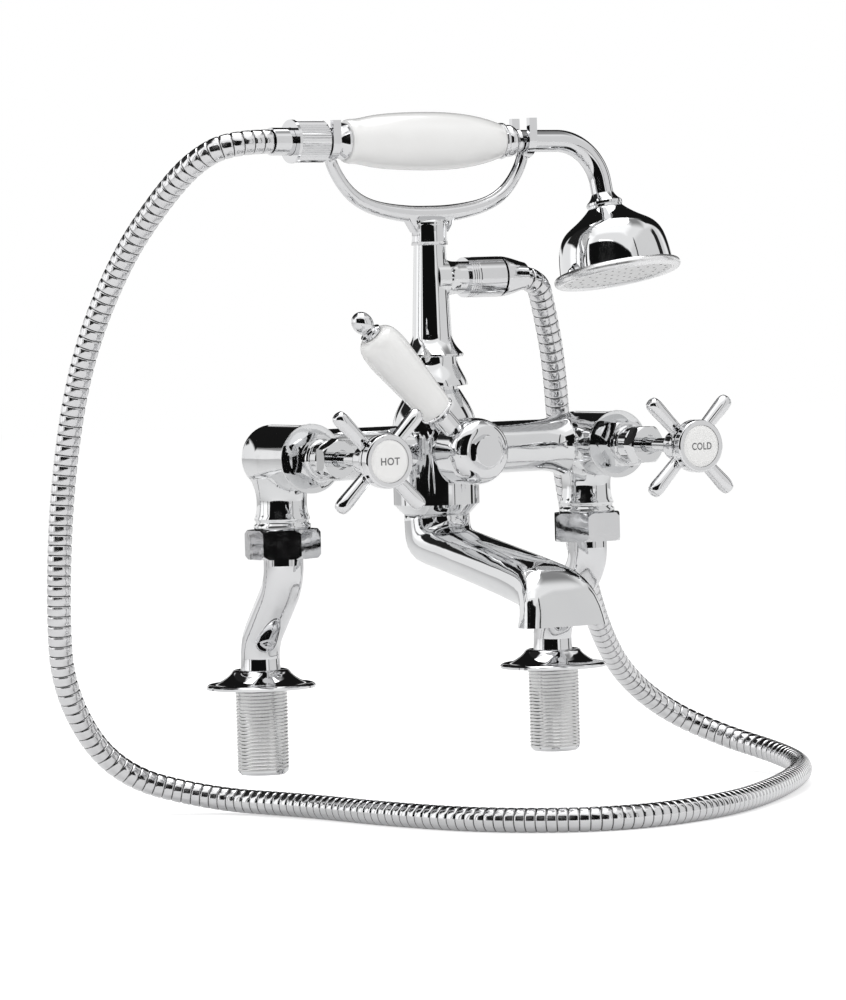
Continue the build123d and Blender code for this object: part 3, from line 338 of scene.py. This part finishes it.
# From the back of the hub to its face: radius, then distance from the back.
hub_outline = (
    (0.0000, 0.0000), (0.0069, 0.0000), (0.0077, 0.0005), (0.0080, 0.0018), (0.0075, 0.0050),
    (0.0076, 0.0080), (0.0086, 0.0110), (0.0096, 0.0125), (0.0096, 0.0172), (0.0087, 0.0178),
    (0.0000, 0.0178),
)
hub_steps = 48
arm_plane_y = -0.1341
# One arm from the hub outwards: radius of the round bar, then distance from the middle.
arm_outline = (
    (0.0000, 0.0050), (0.0034, 0.0055), (0.0035, 0.0120), (0.0037, 0.0200), (0.0040, 0.0275),
    (0.0040, 0.0300), (0.0037, 0.0320), (0.0030, 0.0333), (0.0018, 0.0339), (0.0000, 0.0340),
)
arm_steps = 32
arm_count = 4
first_arm = math.radians(45)
handle_edge = math.radians(40)
handle_chrome = plated(
    "handle_chrome", bright=(0.79, 0.79, 0.80), dark=(0.71, 0.715, 0.725), gloss=0.02, dull=0.06,
    ripple=0.00005, ripple_size=0.012,
)
dress(handle_chrome, "hot_cross_head", "cold_cross_head")


def lathe(skin, outline, centre, axis, across, steps):
    """Turn an outline of radii and heights all the way round an axis."""
    corners = [
        skin.verts.new(centre + across * radius + axis * height) for radius, height in outline
    ]
    lines = [skin.edges.new(pair) for pair in zip(corners, corners[1:])]
    bmesh.ops.spin(
        skin, geom=corners + lines, cent=centre, axis=axis, angle=2 * math.pi, steps=steps,
        use_merge=True,
    )


forward = Vector((0, -1, 0))
to_right = Vector((1, 0, 0))
for side, axis_x in valves:
    skin = bmesh.new()
    hub_back = Vector((axis_x, hub_back_y, valve_z))
    lathe(skin, hub_outline, hub_back, forward, to_right, hub_steps)
    for arm in range(arm_count):
        arm_turn = first_arm + 2 * math.pi / arm_count * arm
        outward = Matrix.Rotation(arm_turn, 3, "Y") @ to_right
        arm_root = Vector((axis_x, arm_plane_y, valve_z))
        lathe(skin, arm_outline, arm_root, outward, forward, arm_steps)
    bmesh.ops.remove_doubles(skin, verts=skin.verts, dist=0.2 * same_point)
    bmesh.ops.recalc_face_normals(skin, faces=skin.faces)
    cross = add_piece(side + "_cross", skin, handle_chrome, handle_edge)
    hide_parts(side + "_cross_head")
    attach(cross, side + "_handle")
bezel_chrome = plated(
    "bezel_chrome", bright=(0.79, 0.79, 0.80), dark=(0.73, 0.735, 0.745), gloss=0.02, dull=0.05,
    ripple=0.00002, ripple_size=0.006,
)
dress(bezel_chrome, "hot_bezel", "cold_bezel")


# ---- Porcelain buttons ----
# White glazed discs, slightly crowned, let into the faces of the cross heads. Each is lettered
# in grey under the glaze with the water that it turns on.

porcelain_white = (0.87, 0.87, 0.865)
porcelain_cream = (0.83, 0.825, 0.815)


def glazed(name, wave_size):
    """Glazed porcelain: a white body with a trace of cream, under a thin clear glaze that has
    faint waves from the firing."""
    cream_patches = 60           # to a metre
    wave_depth = 0.00004
    finish = new_finish(name)
    tree = finish.node_tree
    shader = tree.nodes["Principled BSDF"]
    shader.inputs["Roughness"].default_value = 0.22
    shader.inputs["Coat Weight"].default_value = 0.7
    shader.inputs["Coat Roughness"].default_value = 0.03
    patches(tree, cream_patches, 5, porcelain_cream, porcelain_white)
    swells(tree, 1 / wave_size, 2, wave_depth)
    return finish


dress(glazed("button_porcelain", wave_size=0.003), "hot_button", "cold_button")

ink_dark = (0.10, 0.10, 0.105)
ink_thin = (0.22, 0.22, 0.225)
ink_patches = 900            # to a metre
letter_ink = new_finish("letter_ink")
letter_ink.node_tree.nodes["Principled BSDF"].inputs["Roughness"].default_value = 0.25
patches(letter_ink.node_tree, ink_patches, 2, ink_dark, ink_thin)

button_face_y = -0.1452
letter_stand = 0.00005       # how far the ink stands proud of the glaze
letter_height = 0.0038
letter_spacing = 1.08
letter_swell = 0.0001        # added to each stroke all round, before the word is drawn to size
# Each word: handle, middle from left to right, and width of the word.
words = {"HOT": ("hot_handle", -valve_x, 0.0109), "COLD": ("cold_handle", valve_x, 0.0120)}
for word, (handle, word_x, word_width) in words.items():
    text = bpy.data.curves.new("text_" + word, "FONT")
    text.body = word
    text.align_x = "CENTER"
    text.align_y = "CENTER"
    text.size = 0.005
    text.space_character = letter_spacing
    text.offset = letter_swell
    holder = bpy.data.objects.new("text_" + word, text)
    bpy.context.scene.collection.objects.link(holder)
    bpy.context.view_layer.update()
    word_mesh = bpy.data.meshes.new_from_object(holder)
    bpy.data.objects.remove(holder)
    bpy.data.curves.remove(text)
    corners = [vertex.co.copy() for vertex in word_mesh.vertices]
    low = Vector([min(corner[axis] for corner in corners) for axis in range(3)])
    high = Vector([max(corner[axis] for corner in corners) for axis in range(3)])
    drawn = Matrix.Diagonal((
        word_width / (high.x - low.x), letter_height / (high.y - low.y), 1, 1,
    ))
    on_face = Matrix.Translation((word_x, button_face_y - letter_stand, valve_z))
    upright = Matrix.Rotation(math.pi / 2, 4, "X")
    word_mesh.transform(on_face @ upright @ drawn @ Matrix.Translation(-(low + high) / 2))
    word_mesh.materials.append(letter_ink)
    lettering = bpy.data.objects.new("lettering_" + word.lower(), word_mesh)
    bpy.context.scene.collection.objects.link(lettering)
    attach(lettering, handle)


# ---- Jumpers and their washers ----
# Inside each chamber a loose brass jumper carries the rubber washer that closes on the seat.
# Neither is plated: the jumper keeps the colour and the tool marks of raw brass.

brass_light = (0.80, 0.60, 0.30)
brass_dark = (0.62, 0.44, 0.20)
for side, axis_x in valves:
    jumper_brass = turned(
        side + "_brass", brass_light, brass_dark, gloss=0.22, dull=0.40, axis_x=axis_x,
        axis_z=valve_z, ring_gap=0.0008, ring_depth=0.000004,
    )
    dress(jumper_brass, side + "_jumper")
dress(washer_rubber, "hot_jumper_washer", "cold_jumper_washer")


# ---- Diverter lever ----
# A short lever on the front of the barrel sends the water up to the handset or down the spout.
# Its grip is a glazed porcelain sleeve on a rod, held by a turned collar below and a ball on top.

lever_chrome = turned(
    "lever_chrome", bright=(0.77, 0.77, 0.78), dark=(0.70, 0.705, 0.715), gloss=0.02, dull=0.07,
    axis_x=0.0, axis_z=valve_z, ring_gap=0.0006, ring_depth=0.0000008,
)
dress(lever_chrome, "diverter_bush", "lever_hub", "lever_cap_nut")
lever_end_chrome = plated(
    "lever_end_chrome", bright=(0.79, 0.79, 0.80), dark=(0.72, 0.725, 0.735), gloss=0.02,
    dull=0.06, ripple=0.00003, ripple_size=0.008,
)
dress(lever_end_chrome, "lever_collar", "lever_rod", "lever_finial")
dress(glazed("grip_porcelain", wave_size=0.006), "lever_grip")


# ---- Diverter works ----
# Out of sight in the barrel, a spindle with an eccentric pin moves a brass shuttle up and down
# between the way to the riser and the way to the spout. A rubber washer at each end shuts it.

works_brass = turned(
    "works_brass", brass_light, brass_dark, gloss=0.22, dull=0.40, axis_x=0.0, axis_z=valve_z,
    ring_gap=0.0008, ring_depth=0.000004,
)
dress(works_brass, "diverter_spindle", "diverter_shuttle")
dress(washer_rubber, "shuttle_low_washer", "shuttle_high_washer")


# ---- Riser ----
# A bell-shaped union screws on the cone of the casting and carries a straight tube with a side
# branch for the hose. Tube and union are drawn and polished, so they mirror most truly.

riser_chrome = plated(
    "riser_chrome", bright=(0.77, 0.775, 0.78), dark=(0.72, 0.725, 0.735), gloss=0.015,
    dull=0.05, ripple=0.00006, ripple_size=0.03,
)
dress(riser_chrome, "column", "column_union")


# ---- Cradle ----
# A two-armed fork on top of the riser, bent up from cast bar with a hook at each end. The arms
# are hand-polished, and the handset rests in the hooks.

cradle_chrome = plated(
    "cradle_chrome", bright=(0.77, 0.77, 0.78), dark=(0.70, 0.705, 0.715), gloss=0.02, dull=0.07,
    ripple=0.00012, ripple_size=0.015,
)
buffed("cradle", "handset_fork", cradle_chrome, "mixer")


# ---- Handset ----
# A glazed porcelain grip on an inner tube, between the tail that takes the hose and the collar
# of the bent pipe that leads to the rose.

dress(glazed("handset_porcelain", wave_size=0.010), "handset_grip")
handset_chrome = plated(
    "handset_chrome", bright=(0.77, 0.77, 0.78), dark=(0.70, 0.705, 0.715), gloss=0.02,
    dull=0.06, ripple=0.00005, ripple_size=0.02,
)
dress(handset_chrome, "handset_tail", "handset_collar", "handset_pipe")


# ---- Rose ----
# A spun bell with a flat plate drilled with spray holes, both held by a rolled rim. The rim has a
# satin surface, and the plate hangs in the water, so both are duller than the bell. The plate's
# colour is also darkened, as painted shade of its recess in the rim.

bell_chrome = plated(
    "bell_chrome", bright=(0.77, 0.775, 0.78), dark=(0.71, 0.715, 0.725), gloss=0.02, dull=0.06,
    ripple=0.00005, ripple_size=0.02,
)
dress(bell_chrome, "shower_head")
rim_chrome = plated(
    "rim_chrome", bright=(0.88, 0.88, 0.885), dark=(0.82, 0.825, 0.83), gloss=0.24, dull=0.36,
    ripple=0.00002, ripple_size=0.006,
)
dress(rim_chrome, "head_rim")
# Painted shade: the plate's base colour is set darker than the other plating, for the shade of its
# recess inside the rim.
shaded_plate_chrome = plated(
    "shaded_plate_chrome", bright=(0.60, 0.60, 0.605), dark=(0.48, 0.485, 0.49), gloss=0.10, dull=0.24,
    ripple=0.00002, ripple_size=0.006,
)
dress(shaded_plate_chrome, "spray_plate")


# ---- Shower hose ----
# A plated brass strip wound into a flexible tube, 12.6 mm thick and 1.44 m long. It leaves the
# branch of the riser, drops behind the deck, lies round on the floor and climbs to the handset.

hose_route = (
    (0.0442, -0.033, 0.211), (0.065, -0.033, 0.211), (0.0745, -0.0245, 0.1945),
    (0.084, -0.018, 0.166), (0.095, -0.004, 0.126), (0.111, 0.010, 0.078), (0.130, 0.028, 0.042),
    (0.153, 0.050, 0.012), (0.180, 0.070, -0.014), (0.212, 0.077, -0.036), (0.238, 0.060, -0.051),
    (0.250, 0.024, -0.059), (0.238, -0.018, -0.062), (0.204, -0.066, -0.062),
    (0.154, -0.112, -0.064), (0.092, -0.158, -0.064), (0.020, -0.176, -0.064),
    (-0.032, -0.136, -0.064), (-0.054, -0.068, -0.064), (-0.063, 0.006, -0.064),
    (-0.088, 0.062, -0.063), (-0.134, 0.084, -0.048), (-0.166, 0.078, -0.004),
    (-0.172, 0.070, 0.044), (-0.168, 0.068, 0.112), (-0.162, 0.054, 0.174),
    (-0.149, 0.032, 0.224), (-0.138, 0.008, 0.254), (-0.130, -0.016, 0.274),
    (-0.117, -0.033, 0.2838), (-0.0939, -0.033, 0.2836),
)
hose_radius = 0.0063
hose_pitch = 0.0053          # from one turn of the strip to the next
hose_sides = 24              # faces round the hose
line_steps = 48              # points of the smooth line between two places of the route
# One turn of the strip, as shares of the pitch and of the radius: a crowned band, then a step.
strip_turn = (
    (0.00, 0.880), (0.05, 0.950), (0.12, 0.985), (0.22, 0.998), (0.50, 1.000), (0.78, 0.998),
    (0.90, 0.980), (0.96, 0.930),
)
groove_share = strip_turn[0][1]      # of the radius, where the step between two turns is deepest
hose_seam = hose_radius / 1000       # points of the hose's skin that lie nearer than this are one


def smooth_line(name, points, steps):
    """Points along the smooth line that a flexible tube takes through its route."""
    curve = bpy.data.curves.new(name, "CURVE")
    curve.dimensions = "3D"
    curve.resolution_u = steps
    spline = curve.splines.new("NURBS")
    spline.points.add(len(points) - 1)
    for place, point in zip(spline.points, points):
        place.co = (*point, 1)
    spline.order_u = 3
    spline.use_endpoint_u = True
    holder = bpy.data.objects.new(name, curve)
    bpy.context.scene.collection.objects.link(holder)
    bpy.context.view_layer.update()
    mesh = bpy.data.meshes.new_from_object(holder)
    line = [vertex.co.copy() for vertex in mesh.vertices]
    bpy.data.objects.remove(holder)
    bpy.data.curves.remove(curve)
    bpy.data.meshes.remove(mesh)
    return line


hose_line = smooth_line("hose_line", hose_route, line_steps)
hose_run = [0.0]
for start, end in zip(hose_line, hose_line[1:]):
    hose_run.append(hose_run[-1] + (end - start).length)
strip_turns = round(hose_run[-1] / hose_pitch)
turn_length = hose_run[-1] / strip_turns
ring_stations = [
    (turn_length * (step + along), size)
    for step in range(strip_turns) for along, size in strip_turn
]
ring_stations.append((hose_run[-1], groove_share))

# Each ring of the tube: its middle, the two directions across the hose there, and how deep it
# lies in the groove between two turns, from 0 to 1. The way ahead is taken over a few points of
# the line, so that the rings turn evenly.
hose_rings = []
reached = 0
across = Vector((0, 1, 0))
last = len(hose_line) - 1
for distance, size in ring_stations:
    while reached < last - 1 and hose_run[reached + 1] < distance:
        reached += 1
    share = (distance - hose_run[reached]) / (hose_run[reached + 1] - hose_run[reached])
    spot = hose_line[reached].lerp(hose_line[reached + 1], share)
    ahead = (hose_line[min(reached + 3, last)] - hose_line[max(reached - 2, 0)]).normalized()
    across = (across - ahead * across.dot(ahead)).normalized()
    radius = hose_radius * size
    depth = min((1 - size) / (1 - groove_share), 1)
    hose_rings.append((spot, across * radius, ahead.cross(across) * radius, depth))

# A flat strip of small faces is rolled round the line and closed along its edge.
skin = bmesh.new()
bmesh.ops.create_grid(skin, x_segments=len(hose_rings) - 1, y_segments=hose_sides, size=0.5)
groove_depth = skin.verts.layers.float.new("groove_depth")
for vertex in skin.verts:
    ring = round((vertex.co.x + 0.5) * (len(hose_rings) - 1))
    spot, across, upward, depth = hose_rings[ring]
    angle = 2 * math.pi * (vertex.co.y + 0.5)
    vertex.co = spot + across * math.cos(angle) + upward * math.sin(angle)
    vertex[groove_depth] = depth
bmesh.ops.remove_doubles(skin, verts=skin.verts, dist=hose_seam)
ends = [edge for edge in skin.edges if edge.is_boundary]
bmesh.ops.holes_fill(skin, edges=ends, sides=hose_sides)
bmesh.ops.recalc_face_normals(skin, faces=skin.faces)

hose_plating = plated(
    "hose_plating", bright=(0.76, 0.76, 0.77), dark=(0.68, 0.68, 0.69), gloss=0.08, dull=0.20,
    ripple=0.00002, ripple_size=0.004,
)
# Painted shade: the base colour darkens to near black in the grooves between turns of the strip,
# where shade falls.
groove_painted_shade = (0.05, 0.05, 0.05)
first_shade_depth, full_shade_depth = 0.25, 0.85     # depths in the groove between which the painted shade deepens
plating = hose_plating.node_tree
in_groove = plating.nodes.new("ShaderNodeAttribute")
in_groove.attribute_name = "groove_depth"
shade_ramp = plating.nodes.new("ShaderNodeMapRange")
shade_ramp.interpolation_type = "SMOOTHSTEP"
shade_ramp.inputs["From Min"].default_value = first_shade_depth
shade_ramp.inputs["From Max"].default_value = full_shade_depth
shaded_in_groove = plating.nodes.new("ShaderNodeMix")
shaded_in_groove.data_type = "RGBA"
shaded_in_groove.inputs["B"].default_value = (*groove_painted_shade, 1)
plating.links.new(in_groove.outputs["Fac"], shade_ramp.inputs["Value"])
plating.links.new(shade_ramp.outputs["Result"], shaded_in_groove.inputs["Factor"])
plating.links.new(plating.nodes["Mix"].outputs["Result"], shaded_in_groove.inputs["A"])
plating.links.new(shaded_in_groove.outputs["Result"], plating.nodes["Principled BSDF"].inputs["Base Color"])
hose = add_piece("metal_hose", skin, hose_plating)
dress(hose_plating, "shower_hose")
ferrule_chrome = plated(
    "ferrule_chrome", bright=(0.77, 0.77, 0.78), dark=(0.69, 0.695, 0.705), gloss=0.03,
    dull=0.10, ripple=0.00002, ripple_size=0.01,
)
dress(ferrule_chrome, "hose_ferrule", "swivel_nut", "hose_nut", "hose_cone", "branch_ring")
dress(washer_rubber, "hose_washer", "swivel_washer")
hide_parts("shower_hose")
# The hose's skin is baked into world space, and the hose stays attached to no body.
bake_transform(hose)


# ---- Floor and light ----
# White studio paper under the hose and all round, and soft light from both sides and above.
# Dark, grey and bright boards stand outside the picture, for the plating to mirror.

floor_z = -0.0703
floor_half = 6.0
paper_colour = (0.80, 0.80, 0.80)
paper_to_camera = 0.48       # what the white paper sends out before any light falls on it
paper_to_metal = 0.08        # the same, as a shiny surface mirrors it
middle = Vector((0, -0.04, 0.12))     # of the mixer, where boards and lamps point


def ray_level(tree, to_camera, to_metal):
    """One number for rays from the camera, another for rays that a shiny or clear surface sends."""
    rays = tree.nodes.new("ShaderNodeLightPath")
    shiny = tree.nodes.new("ShaderNodeMath")
    shiny.operation = "MAXIMUM"
    metal = tree.nodes.new("ShaderNodeMath")
    metal.operation = "MULTIPLY"
    metal.inputs[1].default_value = to_metal
    direct = tree.nodes.new("ShaderNodeMath")
    direct.operation = "MULTIPLY_ADD"
    direct.inputs[1].default_value = to_camera
    tree.links.new(rays.outputs["Is Glossy Ray"], shiny.inputs[0])
    tree.links.new(rays.outputs["Is Transmission Ray"], shiny.inputs[1])
    tree.links.new(shiny.outputs[0], metal.inputs[0])
    tree.links.new(rays.outputs["Is Camera Ray"], direct.inputs[0])
    tree.links.new(metal.outputs[0], direct.inputs[2])
    return direct.outputs[0]


stage_white = bpy.data.materials.new("stage_white")
stage_white.use_nodes = True
paper = stage_white.node_tree
paper.nodes.remove(paper.nodes["Principled BSDF"])
paper_matt = paper.nodes.new("ShaderNodeBsdfDiffuse")
paper_matt.inputs["Color"].default_value = (*paper_colour, 1)
paper_glow = paper.nodes.new("ShaderNodeEmission")
paper_both = paper.nodes.new("ShaderNodeAddShader")
paper_level = ray_level(paper, paper_to_camera, paper_to_metal)
paper.links.new(paper_level, paper_glow.inputs["Strength"])
paper.links.new(paper_matt.outputs[0], paper_both.inputs[0])
paper.links.new(paper_glow.outputs[0], paper_both.inputs[1])
paper.links.new(paper_both.outputs[0], paper.nodes["Material Output"].inputs["Surface"])


def stage_board(name, centre, width, height, facing, finish):
    """A flat sheet of the set, square to the direction that it faces."""
    sheet = bmesh.new()
    sheet.loops.layers.uv.new("sheet")
    bmesh.ops.create_grid(sheet, x_segments=1, y_segments=1, size=0.5, calc_uvs=True)
    bmesh.ops.scale(sheet, verts=sheet.verts, vec=(width, height, 1))
    to_face = Vector(facing).to_track_quat("Z", "Y").to_matrix()
    bmesh.ops.rotate(sheet, verts=sheet.verts, cent=(0, 0, 0), matrix=to_face)
    bmesh.ops.translate(sheet, verts=sheet.verts, vec=centre)
    board = add_piece(name, sheet, finish)
    return board


floor_width = 2 * floor_half
stage_board("floor", (0, 0, floor_z), floor_width, floor_width, (0, 0, 1), stage_white)


def painted_card(name, grey, fade):
    """A card of one grey, that fades out towards its edges over a share of its half width."""
    paint = bpy.data.materials.new(name)
    paint.use_nodes = True
    card = paint.node_tree
    card.nodes.remove(card.nodes["Principled BSDF"])
    glow = card.nodes.new("ShaderNodeEmission")
    glow.inputs["Color"].default_value = (grey, grey, grey, 1)
    clear = card.nodes.new("ShaderNodeBsdfTransparent")
    mixed = card.nodes.new("ShaderNodeMixShader")
    place = card.nodes.new("ShaderNodeTexCoord")
    from_middle = card.nodes.new("ShaderNodeMapping")
    from_middle.inputs["Location"].default_value = (-1, -1, 0)
    from_middle.inputs["Scale"].default_value = (2, 2, 0)
    both_ways = card.nodes.new("ShaderNodeSeparateXYZ")
    to_edge = card.nodes.new("ShaderNodeMath")
    to_edge.operation = "MAXIMUM"
    for way in range(2):
        either_side = card.nodes.new("ShaderNodeMath")
        either_side.operation = "ABSOLUTE"
        card.links.new(both_ways.outputs[way], either_side.inputs[0])
        card.links.new(either_side.outputs[0], to_edge.inputs[way])
    fading = card.nodes.new("ShaderNodeMapRange")
    fading.interpolation_type = "SMOOTHSTEP"
    fading.inputs["From Min"].default_value = 1
    fading.inputs["From Max"].default_value = 1 - fade
    card.links.new(place.outputs["UV"], from_middle.inputs["Vector"])
    card.links.new(from_middle.outputs["Vector"], both_ways.inputs["Vector"])
    card.links.new(to_edge.outputs[0], fading.inputs["Value"])
    card.links.new(fading.outputs["Result"], mixed.inputs["Fac"])
    card.links.new(clear.outputs[0], mixed.inputs[1])
    card.links.new(glow.outputs[0], mixed.inputs[2])
    card.links.new(mixed.outputs[0], card.nodes["Material Output"].inputs["Surface"])
    return paint


# Each board: degrees right of the camera, degrees up, width and height in degrees, distance,
# grey, and how softly its edges fade.
boards = {
    "board_front": (-12, 10, 92, 64, 1.3, 0.006, 0.08),
    "softbox_left": (-84, 22, 60, 60, 2.4, 1.35, 0.30),
    "softbox_top": (-10, 72, 70, 40, 2.2, 1.35, 0.40),
    "board_back": (180, 34, 84, 56, 1.6, 0.010, 0.15),
    "board_back_left": (-112, 40, 44, 44, 1.6, 0.020, 0.20),
    "board_back_low": (180, -1, 30, 12, 1.6, 0.010, 0.15),
    "board_right": (84, 14, 92, 64, 1.9, 0.80, 0.25),
    "board_over": (128, 60, 60, 30, 1.7, 0.30, 0.80),
    "board_right_post": (112, 10, 12, 52, 1.7, 0.020, 0.20),
    "board_right_edge": (50, 12, 3, 60, 1.7, 0.050, 0.20),
    "board_left_post": (-66, 12, 4, 60, 1.8, 0.030, 0.20),
    "board_left_edge": (-92, 12, 2, 60, 1.8, 0.030, 0.20),
}
camera_heading = math.atan2(-camera_ahead.y, -camera_ahead.x)    # from the mixer, on the level
for name, (right, up, wide, high, distance, grey, fade) in boards.items():
    heading = camera_heading + math.radians(right)
    lift = math.radians(up)
    level = Vector((math.cos(heading), math.sin(heading), 0))
    way = level * math.cos(lift) + Vector((0, 0, math.sin(lift)))
    width = 2 * distance * math.tan(math.radians(wide) / 2)
    height = 2 * distance * math.tan(math.radians(high) / 2)
    paint = painted_card(name, grey, fade)
    board = stage_board(name, middle + way * distance, width, height, -way, paint)
    board.visible_camera = False
    board.visible_diffuse = False
    board.visible_shadow = False

world = bpy.data.worlds.new("studio")
bpy.context.scene.world = world
world.use_nodes = True
room_light = 0.65            # what the white room sends to surfaces that aren't shiny
room = world.node_tree
room_sum = room.nodes.new("ShaderNodeMath")
room_sum.operation = "ADD"
room_sum.inputs[1].default_value = room_light
room.nodes["Background"].inputs["Color"].default_value = (1, 1, 1, 1)
room.links.new(ray_level(room, 1 - room_light, 1 - room_light), room_sum.inputs[0])
room.links.new(room_sum.outputs[0], room.nodes["Background"].inputs["Strength"])

# Each lamp: place, width and power.
lamps = {
    "lamp_left": ((-1.5, -1.3, 1.1), 1.1, 12.0),
    "lamp_right": ((1.6, -1.2, 1.0), 1.1, 7.0),
    "lamp_top": ((0.2, 0.3, 1.7), 1.2, 10.0),
}
for name, (place, width, power) in lamps.items():
    lamp_data = bpy.data.lights.new(name, "AREA")
    lamp_data.shape = "SQUARE"
    lamp_data.size = width
    lamp_data.energy = power
    lamp = bpy.data.objects.new(name, lamp_data)
    bpy.context.scene.collection.objects.link(lamp)
    aim = (middle - Vector(place)).to_track_quat("-Z", "Y").to_matrix().to_4x4()
    lamp.matrix_world = Matrix.Translation(place) @ aim

bpy.context.scene.view_settings.view_transform = "Standard"
